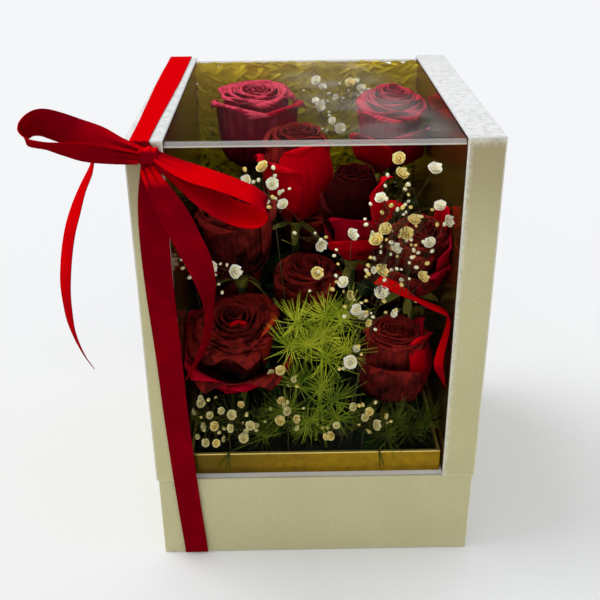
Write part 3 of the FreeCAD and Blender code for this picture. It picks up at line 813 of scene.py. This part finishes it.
# Roses. Each head is found from its CAD node: lean is to the right and front, side its outline, flat how far
# the outer petals reach up, open how far they roll out, full its share of the node's width and height, and
# shift a move in mm. Guards are loose outer petals: turn, half width, radius, top, lip, roll, point and
# which of the rose's looks they have.
usualRose = {"look": petalDark, "side": "open", "flat": 0.8, "open": 1.0, "full": (1, 1), "shift": (0, 0, 0),
             "guards": ()}
roses = {
    "back_left": {
        "lean": (0, 0.06), "look": petalPlum, "side": "drum", "flat": 0.95, "open": 0.8, "seed": 3,
        "full": (0.86, 1.04), "shift": (-2, 0, 0), "guards": (
            (-130, 70, 1.0, 0.90, 0.10, 150, 0.0, 0), (-40, 70, 1.02, 0.86, 0.10, 150, 0.0, 2))},
    "back_right": {
        "lean": (0.04, 0.14), "look": petalRose, "seed": 8, "full": (0.96, 1.14), "shift": (4.5, 0, 0),
        "guards": (
            (-128, 38, 1.03, 0.62, 0.12, 60, 0.1, 1), (-50, 50, 1.0, 0.7, 0.12, 70, 0.1, 0))},
    "middle_tall": {
        "lean": (0.03, 0.06), "side": "bud", "flat": 0.95, "open": 0.3, "seed": 5, "full": (0.90, 1.02),
        "guards": (
            (-55, 72, 1.0, 0.90, 0.07, 120, 0.0, 1), (-142, 60, 1.0, 0.78, 0.30, 76, 0.40, 1),
            (60, 60, 0.98, 0.86, 0.10, 120, 0.05, 0), (150, 60, 0.98, 0.9, 0.10, 120, 0.05, 0))},
    "middle_dark": {
        "lean": (0.02, 0.10), "look": petalBlack, "side": "bud", "flat": 0.97, "open": 0.25, "seed": 11,
        "full": (0.80, 1.0), "guards": (
            (-100, 66, 1.03, 0.62, 0.07, 60, 0.06, 2), (-80, 70, 1.07, 0.40, 0.10, 60, 0.10, 1),
            (-15, 44, 1.03, 0.96, 0.24, 60, 0.30, 1), (-2, 46, 1.08, 0.66, 0.34, 56, 0.46, 1),
            (170, 60, 1.0, 0.72, 0.12, 90, 0.1, 0))},
    "left_high": {"lean": (-0.03, 0.16), "side": "tall", "flat": 0.84, "open": 0.7, "seed": 14},
    "front_left": {
        "lean": (-0.06, 0.34), "open": 1.2, "seed": 17, "guards": (
            (-90, 60, 1.04, 0.60, 0.26, 90, 0.10, 0), (-14, 30, 0.70, 1.0, 0.16, 70, 0.10, 3),
            (-150, 50, 1.04, 0.74, 0.24, 90, 0.10, 2), (-60, 50, 1.06, 0.54, 0.2, 80, 0.1, 2),
            (-75, 46, 0.26, 1.03, 0.06, 60, 0.0, 1), (178, 40, 1.02, 0.84, 0.2, 70, 0.1, 2))},
    "front_right": {
        "lean": (0.04, 0.10), "side": "bud", "flat": 0.92, "open": 0.5, "seed": 20, "guards": (
            (-40, 26, 0.90, 1.0, 0.12, 90, 0.15, 1), (-12, 28, 0.96, 0.96, 0.14, 60, 0.10, 2),
            (20, 30, 0.92, 1.02, 0.16, 60, 0.12, 2), (-100, 50, 1.0, 0.74, 0.12, 80, 0.05, 0))},
    "right_high": {
        "lean": (0.05, 0.45), "flat": 0.76, "seed": 23, "full": (0.92, 1.2), "shift": (4, 0, 0), "guards": (
            (-5, 60, 1.04, 0.92, 0.18, 70, 0.15, 2), (-50, 40, 1.06, 0.70, 0.20, 70, 0.20, 2),
            (20, 40, 0.90, 1.02, 0.14, 60, 0.15, 1), (-110, 50, 1.04, 0.62, 0.22, 70, 0.12, 0))},
    "middle_low": {"lean": (0, 0.20), "side": "bud", "open": 0.9, "seed": 26},
    "left_back": {"lean": (-0.03, 0), "seed": 29},
    "right_back": {"lean": (0, 0), "seed": 32},
    "middle_back": {"lean": (0, 0), "seed": 35},
}

# Pairs go from the inmost petal to the outmost. Lip, rim, tuck, ripple and point are shares of the head's
# half width, drop and low shares of its height, and roll and half are degrees.
roseForm = {"petals": 24, "wider": 1.12, "thick": 0.35 * mm, "lipStart": 0.58, "nextTurn": 2.39996,
            "lip": (0.03, 0.13), "roll": (50, 150), "rim": (0.13, 0.99), "half": (150, 54), "low": 0.01}
innerPetal = {"drop": 0.05, "tuck": 0.02, "ripple": 0.03, "point": 0.05}
guardPetal = {"drop": 0.10, "tuck": 0.03, "ripple": 0.05}

# Outlines of the heads: share of the height, share of the half width.
roseSides = {
    "open": ((0, 0.18), (0.10, 0.36), (0.30, 0.84), (0.62, 1.0), (0.86, 0.95), (1.0, 0.96)),
    "tall": ((0, 0.20), (0.10, 0.48), (0.30, 0.86), (0.60, 0.97), (0.86, 1.0), (1.0, 0.98)),
    "drum": ((0, 0.24), (0.08, 0.58), (0.25, 0.90), (0.60, 0.97), (0.90, 1.0), (1.0, 0.98)),
    "bud": ((0, 0.18), (0.10, 0.46), (0.30, 0.90), (0.55, 1.0), (0.80, 0.86), (1.0, 0.62)),
}
petalGrid = newGrid("petalGrid", 12, 16)


# A head's foot, its three ways, its half width and its height, measured on the CAD node along its lean.
def headAxis(name, lean):
    up = Vector((lean[0], -lean[1], 1)).normalized()
    right = Vector((0, 1, 0)).cross(up).normalized()
    front = up.cross(right)
    spans = []
    for way in (right, front, up):
        reach = [vertex.co.dot(way) for vertex in nodes["rose_head_" + name].data.vertices]
        spans.append((min(reach), max(reach)))
    foot = right * sum(spans[0]) / 2 + front * sum(spans[1]) / 2 + up * spans[2][0]
    return foot, right, front, up, (spans[0][1] - spans[0][0]) / 2, spans[2][1] - spans[2][0]


def sideAt(share, kind="open"):
    side = roseSides[kind]
    for (low, inner), (high, outer) in zip(side, side[1:]):
        if share <= high:
            return mix(inner, outer, smooth(low, high, share))
    return side[-1][1]


# One petal: its body follows the head's outline, and its lip rolls outwards.
def addPetal(rose, look, petal):
    lipStart = roseForm["lipStart"]

    def petalPlace(u, v):
        body = min(1, v / lipStart)
        lip = max(0, (v - lipStart) / (1 - lipStart))
        width = (0.5 + 0.5 * smooth(0, 0.7, body)) * math.sqrt(1 - 0.8 * lip ** 2)
        turn = petal["turn"] + u * petal["half"] * width
        height = mix(petal["low"], petal["top"] - petal["lip"], body)
        radius = petal["radius"] * sideAt(height / petal["height"], rose["side"])
        roll = lip * petal["roll"] * (0.75 + 0.4 * abs(u) + 0.2 * math.sin(3 * u + petal["phase"]))
        radius += petal["lip"] * (1 - math.cos(roll))
        height += petal["lip"] * math.sin(roll) - petal["drop"] * u * u * body
        radius += petal["tuck"] * u * body + petal["point"] * lip * (1 - abs(u)) ** 2
        ripple = noise.noise(Vector((math.cos(turn), math.sin(turn), height * 40 + petal["phase"])) * 1.7)
        radius += petal["ripple"] * ripple * body
        return Vector((radius * math.cos(turn), radius * math.sin(turn), height))

    piece = copyOf(petalGrid, "petal")
    shapeGrid(piece, petalPlace)
    # Looks 1 to 3 are petal copies with painted sunlight.
    paint(piece, rose["look"], petalPaintedLit, petalPaintedLitCrimson, petalPaintedLitOrange)
    setLook(piece, look)
    return piece


heads = {}
for name, ownValues in roses.items():
    rose = {**usualRose, **ownValues}
    rng = random.Random(rose["seed"])
    foot, right, front, up, wide, tall = headAxis(name, rose["lean"])
    wide *= roseForm["wider"] * rose["full"][0]
    tall *= rose["full"][1]
    foot = foot + Vector(rose["shift"]) * mm
    heads[name] = (foot, up, wide, tall)
    stand = Matrix((right, front, up)).transposed().to_4x4()
    stand.translation = foot
    petals = []
    for count in range(roseForm["petals"]):
        share = count / (roseForm["petals"] - 1)
        lip = wide * mix(*roseForm["lip"], share) * rose["open"] * rng.uniform(0.8, 1.2)
        roll = math.radians(mix(*roseForm["roll"], share) * rng.uniform(0.85, 1.15))
        turn = count * roseForm["nextTurn"] + rng.uniform(-0.25, 0.25) + rose["seed"]
        rim = wide * mix(*roseForm["rim"], share ** 0.85)
        petals.append(addPetal(rose, 0, {
            "turn": turn, "half": math.radians(mix(*roseForm["half"], share ** 0.5)), "height": tall,
            "low": tall * 0.5 * (1 - share) ** 0.7 + roseForm["low"] * tall,
            "top": tall * mix(1.0, rose["flat"], share) * rng.uniform(0.975, 1.0),
            "lip": lip, "roll": roll, "radius": max(0.08 * wide, rim - lip * (1 - math.cos(roll))),
            "drop": tall * innerPetal["drop"] * rng.uniform(0.4, 1.4), "tuck": wide * innerPetal["tuck"],
            "phase": rng.uniform(0, fullTurn), "ripple": wide * innerPetal["ripple"] * share,
            "point": wide * innerPetal["point"] * share}))
    for turn, half, reach, top, lip, roll, point, look in rose["guards"]:
        petals.append(addPetal(rose, look, {
            "turn": math.radians(turn), "half": math.radians(half), "height": tall,
            "low": roseForm["low"] * tall, "top": tall * top, "lip": wide * lip,
            "roll": math.radians(roll), "radius": wide * reach, "drop": tall * guardPetal["drop"],
            "tuck": wide * guardPetal["tuck"], "phase": rng.uniform(0, fullTurn),
            "ripple": wide * guardPetal["ripple"], "point": wide * point}))
    head = joinPieces(petals, "rose_" + name)
    head.data.transform(stand)
    for vertex in head.data.vertices:
        vertex.co = inRoom(vertex.co)
    thicken(head, roseForm["thick"])
    shadeSmooth(head)
    dress(head, "base", "rose_petal", "rose_head_" + name)
print("roses modelled")

# Rose stems: a bent stalk, the olive cup under the head with five sepals, and leaves of three leaflets.
stemForm = {"radius": 2.4 * mm, "neck": 11 * mm, "cup": 6 * mm, "cupHeight": 7 * mm, "thick": 0.3 * mm,
            "sepals": 5, "nextSepal": 1.2566, "sepal": 17 * mm, "sepalHalf": 3 * mm, "leaves": 5}
# The places of leaflets are their turn, size and distance.
leaflets = {"long": 26 * mm, "half": 8.5 * mm, "thinnest": 0.35 * mm,
            "places": ((0, 1.0, 9 * mm), (0.8, 0.75, 4 * mm), (-0.8, 0.75, 4 * mm))}
stemLooks = (stemGreen, leafDark, cupOlive)
leafGrid = newGrid("leafGrid", 6, 8)


# Pushes a place out of any rose head it lies in.
def clearOfHeads(place):
    for foot, up, wide, tall in heads.values():
        along = (place - foot).dot(up)
        if 0 < along < tall:
            off = place - foot - up * along
            reach = wide * sideAt(along / tall) + 0.8 * mm
            if 1e-6 < off.length < reach:
                place = place + off.normalized() * (reach - off.length)
    return place


def addLeaf(name, look, start, ahead, face, length, half, droop):
    across = ahead.cross(face).normalized()

    def leafPlace(u, v):
        swell = max(0, math.sin(math.pi * min(1, v ** 0.8))) ** 0.75
        wide = max(leaflets["thinnest"], half * swell * (1 - 0.25 * v))
        fold = abs(u) * wide * 0.22
        at = start + ahead * (length * v) + across * (u * wide) + face * (fold - droop * length * v * v)
        return inRoom(clearOfHeads(at))

    leaf = copyOf(leafGrid, name)
    shapeGrid(leaf, leafPlace)
    paint(leaf, *stemLooks)
    setLook(leaf, look)
    return leaf


for name in roses:
    rng = random.Random(name)
    foot, up, wide, tall = heads[name]
    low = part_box("rose_stem_" + name)[0].z
    ends = [vertex.co for vertex in nodes["rose_stem_" + name].data.vertices if vertex.co.z < low + 0.6 * mm]
    end = sum(ends, Vector()) / len(ends)
    under = foot - up * stemForm["cupHeight"]
    bend = under - up * stemForm["neck"]
    radius = stemForm["radius"]
    cup = stemForm["cup"]
    stalk = tubes("stalk", [
        ([end, end.lerp(bend, 0.5), bend, bend.lerp(under, 0.6), under], [radius] * 5),
        ([under, under.lerp(foot, 0.5), foot + up * 0.5 * mm], [radius, cup * 0.8, cup * 0.85])], 2, 4)
    paint(stalk, *stemLooks)
    for polygon in stalk.data.polygons:
        if (polygon.center - under).dot(up) > 0:
            polygon.material_index = 2
    parts = []
    side = up.orthogonal().normalized()
    for count in range(stemForm["sepals"]):
        out = Matrix.Rotation(count * stemForm["nextSepal"] + rng.uniform(-0.2, 0.2), 3, up) @ side
        ahead = (out + up * rng.uniform(-0.9, 0.5)).normalized()
        face = (up - ahead * up.dot(ahead)).normalized()
        start = foot + out * cup * 0.7 - up * 1.5 * mm
        parts.append(addLeaf("sepal", 2, start, ahead, face, stemForm["sepal"], stemForm["sepalHalf"], 0.25))
    for count in range(stemForm["leaves"]):
        start = end.lerp(bend, rng.uniform(0.25, 0.92))
        angle = rng.uniform(0, fullTurn)
        out = Vector((math.cos(angle), math.sin(angle), rng.uniform(0.1, 0.6))).normalized()
        for turn, size, away in leaflets["places"]:
            ahead = Matrix.Rotation(turn, 3, "Z") @ out
            face = (Vector((0, 0, 1)) - ahead * ahead.z).normalized()
            parts.append(addLeaf("leaflet", 1, start + out * (radius + away), ahead, face,
                                 leaflets["long"] * size, leaflets["half"] * size, rng.uniform(0, 0.35)))
        petiole = tubes("petiole", [tubeLine([start, start + out * 12 * mm], 0.9, 0.6)], 1, 2)
        paint(petiole, *stemLooks)
        parts.append(petiole)
    leaves = joinPieces(parts, "leaves")
    thicken(leaves, stemForm["thick"])
    stem = joinPieces([stalk, leaves], "stem_" + name)
    shadeSmooth(stem, 60)
    dress(stem, "base", "rose_stem", "rose_stem_" + name)
print("stems modelled")

# One double blossom, modelled once: whorls of ruffled petals round a greenish heart. A whorl is its count of
# petals, its reach and its rise in radians.
blossomForm = {"radius": 4.5 * mm, "thick": 0.14 * mm,
               "whorls": ((6, 1.0, 0.20), (5, 0.74, 0.50), (4, 0.42, 0.85))}
sprigLooks = (blossomWhite, sprigStem, blossomCream, blossomPale)
smallGrid = newGrid("smallGrid", 2, 3)
parts = []
rng = random.Random(7)
for whorl, (count, reach, rise) in enumerate(blossomForm["whorls"]):
    for petal in range(count):
        turn = petal * 2 * math.pi / count + whorl * 0.5
        ahead = Vector((math.cos(turn) * math.cos(rise), math.sin(turn) * math.cos(rise), math.sin(rise)))
        across = Vector((-math.sin(turn), math.cos(turn), 0))
        face = ahead.cross(across)
        part = copyOf(smallGrid, "part")
        size = blossomForm["radius"] * rng.uniform(0.82, 1.08)
        ruffle = rng.uniform(-0.22, 0.22)

        def blossomPlace(u, v):
            long = size * reach * v * (1 - 0.14 * u * u)
            wide = size * 0.62 * reach * (0.42 + 0.58 * math.sin(2.1 * v))
            lift = 0.16 * v * v + 0.16 * u * u * v + ruffle * u * v
            return ahead * long + across * u * wide + face * lift * size

        shapeGrid(part, blossomPlace)
        parts.append(part)
blossom = joinPieces(parts, "blossomMaster")
thicken(blossom, blossomForm["thick"])
shadeSmooth(blossom)
paint(blossom, *sprigLooks)

# One bud, of radius 1, in the colour of a petal's outer half.
deselectAll()
bpy.ops.mesh.primitive_ico_sphere_add(subdivisions=2, radius=1)
bud = bpy.context.object
bud.name = "budMaster"
bud.data.transform(Matrix.Diagonal((1, 1, 1.3, 1)))
for corner in bud.data.uv_layers.active.data:
    corner.uv = (0.5, 0.75)
shadeSmooth(bud)
paint(bud, *sprigLooks)


def putCopy(master, name, place, ahead, size, look):
    copied = copyOf(master, name)
    setLook(copied, look)
    turn = ahead.to_track_quat("Z", "Y").to_matrix().to_4x4()
    copied.data.transform(Matrix.Translation(place) @ turn @ Matrix.Scale(size, 4))
    return copied


# Breath sprigs: foot in shares of the foam, fork and blossoms in shares of the room, the share of cream
# blossoms, and how many of the twigs beside each blossom bear a smaller one and not a bud.
breathSprigs = {
    "upper_right": {
        "foot": (0.17, -0.83), "fork": (0.39, -0.955, 0.385), "cream": 0.5, "beside": 0, "blossoms": (
            (0.60, -0.945, 0.908), (0.83, -0.945, 0.92), (0.885, -0.945, 0.818), (0.83, -0.945, 0.712),
            (0.58, -0.945, 0.697), (0.44, -0.945, 0.723), (0.482, -0.945, 0.63), (0.79, -0.945, 0.61),
            (0.464, -0.93, 0.84), (0.706, -0.93, 0.776), (0.95, -0.93, 0.772), (0.586, -0.90, 0.943),
            (0.508, -0.92, 0.749), (0.66, -0.92, 0.735))},
    "right_middle": {
        "foot": (0.31, -0.77), "fork": (0.35, -0.895, 0.355), "cream": 0.5, "beside": 1, "blossoms": (
            (0.31, -0.955, 0.515), (0.21, -0.955, 0.60), (0.35, -0.895, 0.48), (0.27, -0.965, 0.35),
            (0.264, -0.93, 0.736), (0.01, -0.93, 0.624), (0.489, -0.945, 0.563))},
    "lower_left": {
        "foot": (-0.71, -0.92), "fork": (-0.70, -0.90, 0.087), "cream": 0.2, "beside": 2, "blossoms": (
            (-0.90, -0.945, 0.21), (-0.88, -0.965, 0.077), (-0.80, -0.965, 0.135), (-0.67, -0.965, 0.175),
            (-0.52, -0.965, 0.135), (-0.58, -0.955, 0.087))},
    "lower_middle": {
        "foot": (-0.22, -0.92), "fork": (-0.22, -0.90, 0.106), "cream": 0.2, "beside": 2, "blossoms": (
            (-0.22, -0.965, 0.183), (-0.285, -0.965, 0.15), (-0.27, -0.945, 0.318))},
    "lower_right": {
        "foot": (0.39, -0.92), "fork": (0.39, -0.90, 0.087), "cream": 0.5, "beside": 2, "blossoms": (
            (0.43, -0.965, 0.178), (0.48, -0.965, 0.13), (0.13, -0.965, 0.096))},
    "upper_left": {
        "foot": (-0.11, -0.48), "fork": (-0.285, -0.615, 0.695), "cream": 0.2, "beside": 0, "blossoms": (
            (-0.375, -0.655, 0.885), (-0.31, -0.705, 0.845), (-0.49, -0.775, 0.865), (-0.23, -0.735, 0.79),
            (0.05, -0.615, 0.645))},
    "top_back": {
        "foot": (0.41, 0.87), "fork": (0.18, 0.875, 0.72), "cream": 0.2, "beside": 1, "blossoms": (
            (0.10, 0.615, 0.895), (0.39, 0.795, 0.95), (0.50, 0.855, 0.925), (0.28, 0.515, 0.83),
            (0.08, 0.795, 0.96))},
    "left_edge": {
        "foot": (-0.87, 0.38), "fork": (-0.92, -0.60, 0.47), "cream": 0.2, "beside": 0, "blossoms": (
            (-0.95, -0.92, 0.70), (-0.77, -0.92, 0.645), (-0.94, -0.66, 0.60), (-0.60, -0.92, 0.63))},
}
breathTwigs = 5
stemDepth = 20 * mm
for name, breath in breathSprigs.items():
    rng = random.Random(name)
    end = footing(breath["foot"], stemDepth)
    forkAt = spot(breath["fork"])
    lines = [tubeLine([end, end.lerp(forkAt, 0.5) + Vector((0, 0, 2 * mm)), forkAt], 0.7, 0.5, 0.35)]
    parts = []
    plain, scale = (3, 0.82) if name.startswith("lower") else (0, 1)  # the lower ones are paler and smaller
    base = forkAt
    for share in breath["blossoms"]:
        tip = spot(share)
        bend = base.lerp(tip, 0.5) + Vector((rng.uniform(-5, 5), rng.uniform(0, 3), rng.uniform(0, 4))) * mm
        lines.append(tubeLine([base, bend, tip], 0.21, 0.18, 0.16))
        base = base.lerp(bend, 0.5).lerp(bend.lerp(tip, 0.5), 0.5)
        look = Vector((rng.uniform(-0.9, 0.9), -0.8, rng.uniform(0.1, 1.1)))
        look = ((tip - forkAt).normalized() * 0.5 + look).normalized()
        shade = 2 if rng.random() < breath["cream"] else plain
        parts.append(putCopy(blossom, "flower", tip, look, scale * rng.uniform(0.85, 1.1), shade))
        for count in range(breathTwigs):
            start = forkAt.lerp(tip, rng.uniform(0.45, 0.85))
            away = Vector((rng.uniform(-1, 1), rng.uniform(-0.3, 0.3), rng.uniform(-0.4, 1))).normalized()
            far = start.lerp(tip, 0.5) + away * rng.uniform(6, 12) * mm
            far = inRoom(clearOfHeads(far), 2.2 * mm)
            lines.append(tubeLine([start, start.lerp(far, 0.6), far], 0.17, 0.15, 0.14))
            shade = 2 if rng.random() < breath["cream"] else plain
            if count < breath["beside"]:
                look = (away + Vector((0, -1, 0.4))).normalized()
                parts.append(putCopy(blossom, "flower", far, look, scale * rng.uniform(0.5, 0.85), shade))
            else:
                parts.append(putCopy(bud, "bud", far, away, rng.uniform(0.7, 1.2) * mm, shade))
    stalks = tubes("stalks", lines, 0, 3)
    paint(stalks, *sprigLooks)
    setLook(stalks, 1)
    sprig = joinPieces([stalks] + parts, "breath_" + name)
    shadeSmooth(sprig, 60)
    dress(sprig, "base", "white_blossom", "breath_sprig_" + name)
print("blossoms modelled")

# Needle ferns: foot, fork and tufts in shares as above. Each tuft is a burst of thin needles. Twigs hang
# over the collar: x and z in mm of the place where they part, then of their ends.
fernSprigs = {
    "middle": {
        "foot": (0, -0.75), "fork": (0.065, -0.835, 0.357), "look": fernBright, "needles": 56, "tufts": (
            (-0.166, -0.896, 0.474), (0.084, -0.896, 0.495), (0.235, -0.905, 0.491), (-0.069, -0.915, 0.401),
            (0.101, -0.925, 0.343), (0.274, -0.876, 0.365), (-0.230, -0.886, 0.387), (0.05, -0.90, 0.43))},
    "middle_low": {
        "foot": (0.13, -0.82), "fork": (0.05, -0.875, 0.164), "look": fernMid, "needles": 56, "tufts": (
            (-0.172, -0.915, 0.274), (0.174, -0.935, 0.218), (-0.072, -0.935, 0.124), (0.05, -0.905, 0.26),
            (-0.27, -0.91, 0.17), (0.22, -0.91, 0.13))},
    "right_low": {
        "foot": (0.63, -0.92), "fork": (0.62, -0.885, 0.067), "look": fernDark, "needles": 70, "tufts": (
            (0.67, -0.905, 0.135), (0.80, -0.895, 0.096), (0.535, -0.925, 0.083), (0.92, -0.88, 0.12),
            (0.38, -0.86, 0.12)), "twigs": ((40, 75.2), (41, 62), (43.5, 63.5))},
    "left_low": {
        "foot": (-0.41, -0.92), "fork": (-0.39, -0.885, 0.067), "look": fernDark, "needles": 70, "tufts": (
            (-0.39, -0.895, 0.135), (-0.47, -0.875, 0.087), (-0.70, -0.86, 0.13), (-0.90, -0.85, 0.11),
            (-0.20, -0.86, 0.12), (-0.05, -0.86, 0.09)),
        "twigs": ((-54, 75.2), (-61, 64.5), (-56.5, 62), (-54, 61))},
}
needle = {"length": 19 * mm, "radii": (0.234, 0.26, 0.091), "flatten": 0.55, "rise": 0.3}
twigGap = 0.8 * mm
for name, fern in fernSprigs.items():
    rng = random.Random(name)
    end = footing(fern["foot"], stemDepth)
    forkAt = spot(fern["fork"])
    lines = [tubeLine([end, end.lerp(forkAt, 0.5), forkAt], 1.1, 1.0, 0.8)]
    for share in fern["tufts"]:
        tip = spot(share)
        lines.append(tubeLine([forkAt, forkAt.lerp(tip, 0.5) + Vector((0, 0, 2 * mm)), tip], 0.6, 0.5, 0.4))
        way = (tip - forkAt).normalized()
        for count in range(fern["needles"]):
            start = tip - way * rng.uniform(0, 0.35) * needle["length"]
            spread = Vector((rng.gauss(0, 1), rng.gauss(0, 1) * needle["flatten"], rng.gauss(0, 1)))
            ahead = (spread.normalized() + way * 0.3 + Vector((0, 0, needle["rise"]))).normalized()
            long = needle["length"] * rng.uniform(0.55, 1.0)
            curl = Vector((rng.uniform(-0.12, 0.12), 0, rng.uniform(-0.05, 0.22))) * long
            middle = inRoom(start + ahead * long * 0.55)
            far = inRoom(start + ahead * long + curl)
            lines.append(tubeLine([start, middle, far], *needle["radii"]))
    twigs = [Vector((x * mm, collarLow.y - twigGap, z * mm)) for x, z in fern.get("twigs", ())]
    if twigs:
        over = Vector((twigs[0].x, (collarLow.y + collarHigh.y) / 2, collarHigh.z + 2 * mm))
        lines.append(tubeLine([forkAt, over, twigs[0]], 0.6, 0.55, 0.5))
    for hang in twigs[1:]:
        lines.append(tubeLine([twigs[0], twigs[0].lerp(hang, 0.5), hang], 0.48, 0.42, 0.3))
    sprig = tubes("fern_" + name, lines, 0, 2)
    paint(sprig, fern["look"])
    shadeSmooth(sprig, 60)
    dress(sprig, "base", "fern_needle", "fern_sprig_" + name)

# Back spray: fern fronds that stand side by side in the back window, with leaves to both sides.
backSpray = {"fronds": 38, "spread": 1.008, "depth": 15 * mm, "step": 3.0 * mm, "bareSteps": 9,
             "leaf": 14 * mm, "half": 2.7 * mm, "thick": 0.16 * mm}
margin = -0.4 * mm  # the leaves reach a little past the other flowers' room
rng = random.Random(41)
stalks = []
leaves = []
for frond in range(backSpray["fronds"]):
    x = mix(-backSpray["spread"], backSpray["spread"], frond / (backSpray["fronds"] - 1))
    deep = 0.91 + 0.07 * (frond % 2)
    foot = footing((x, min(deep, 0.93)), backSpray["depth"])
    tip = spot((x, deep, rng.uniform(0.97, 1.0)))
    bend = Vector((x * roomX + rng.uniform(-5, 5) * mm * (1 - min(1, abs(x))), tip.y, (foot.z + tip.z) / 2))
    stalks.append(tubeLine([foot, bend, tip], 0.9, 0.7, 0.35))
    steps = int((tip - foot).length / backSpray["step"])
    for count in range(backSpray["bareSteps"], steps + 1):
        share = count / steps
        start = foot.lerp(bend, share).lerp(bend.lerp(tip, share), share)
        for hand in (-1, 1):
            out = Vector((hand, rng.uniform(-0.3, 0.15), rng.uniform(0.3, 1.1))).normalized()
            long = backSpray["leaf"] * rng.uniform(0.65, 1.1)
            half = backSpray["half"] * rng.uniform(0.7, 1.15)
            middle = inRoom(start + out * long * 0.5 + Vector((0, rng.uniform(-1.5, 1.5), 1)) * mm, margin)
            far = inRoom(start + out * long, margin)
            leaves.append(([start, middle, far], [half * 0.4, half, half * 0.15], rng.uniform(-0.6, 0.6)))
sprayLeaves = curveMesh("sprayLeaves", leaves, extrude=1, resolution_u=2)
thicken(sprayLeaves, backSpray["thick"])
spray = joinPieces([tubes("sprayStalks", stalks, 0, 3), sprayLeaves], "fern_back")
paint(spray, fernBack)
shadeSmooth(spray, 60)
dress(spray, "base", "fern_needle", "fern_sprig_back")
print("ferns modelled")

for master in (petalGrid, leafGrid, smallGrid, blossom, bud):
    bpy.data.objects.remove(master)

# Stage: a pale floor that throws warm light back, a soft sky and one high sun from behind on the left.
stage = {"floor": (0.93, 0.93, 0.93), "bounce": (0.72, 0.66, 0.36), "backdrop": (0.896, 0.896, 0.896),
         "sky": (0.98, 1.0, 1.03), "skyStrength": 0.72, "sunStrength": 1.0, "sunAngle": 35}
deselectAll()
bpy.ops.mesh.primitive_plane_add(size=12)
floor = bpy.context.object
floor.name = "floor"
floorPale = newMaterial("floorPale", stage["floor"], 0.9, Specular_IOR_Level=0.0)
bounced = addNode(floorPale.node_tree, "LightPath").outputs["Is Diffuse Ray"]
recolour(floorPale, addMix(bounced, stage["floor"], stage["bounce"]))
paint(floor, floorPale)

world = bpy.data.worlds.new("sky")
scene.world = world
world.use_nodes = True
tree = world.node_tree
sky = tree.nodes["Background"]
feed(sky.inputs["Color"], stage["sky"])
feed(sky.inputs["Strength"], stage["skyStrength"])
backdrop = addNode(tree, "Background")
feed(backdrop.inputs["Color"], stage["backdrop"])
path = addNode(tree, "LightPath").outputs
straight = addMath("MAXIMUM", path["Is Camera Ray"], path["Is Transmission Ray"])
choose = addNode(tree, "MixShader")
feed(choose.inputs[0], addMath("MAXIMUM", straight, path["Is Glossy Ray"]))
feed(choose.inputs[1], sky.outputs[0])
feed(choose.inputs[2], backdrop.outputs[0])
feed(tree.nodes["World Output"].inputs["Surface"], choose.outputs[0])

lamp = bpy.data.lights.new("sun", "SUN")
lamp.energy = stage["sunStrength"]
lamp.angle = math.radians(stage["sunAngle"])
lampPiece = bpy.data.objects.new("sun", lamp)
lampPiece.rotation_euler = sunWay.to_track_quat("Z", "Y").to_euler()
scene.collection.objects.link(lampPiece)

# Camera, matched to the photo from the box's corners.
camera = {"place": Vector((-0.0146, -0.5533, 0.4103)), "ahead": Vector((0.0113, 0.8933, -0.4493)),
          "right": Vector((0.99982, -0.01741, -0.00716)), "lens": 53.36, "sensor": 36}
eye = bpy.data.cameras.new("camera")
eye.lens = camera["lens"]
eye.sensor_width = camera["sensor"]
eyePiece = bpy.data.objects.new("camera", eye)
ahead = camera["ahead"].normalized()
right = (camera["right"] - ahead * ahead.dot(camera["right"])).normalized()
turn = Matrix((right, right.cross(ahead), -ahead)).transposed()
eyePiece.matrix_world = Matrix.Translation(camera["place"]) @ turn.to_4x4()
scene.collection.objects.link(eyePiece)
scene.camera = eyePiece
scene.view_settings.view_transform = "Standard"
print("stage set")

bpy.context.view_layer.update()
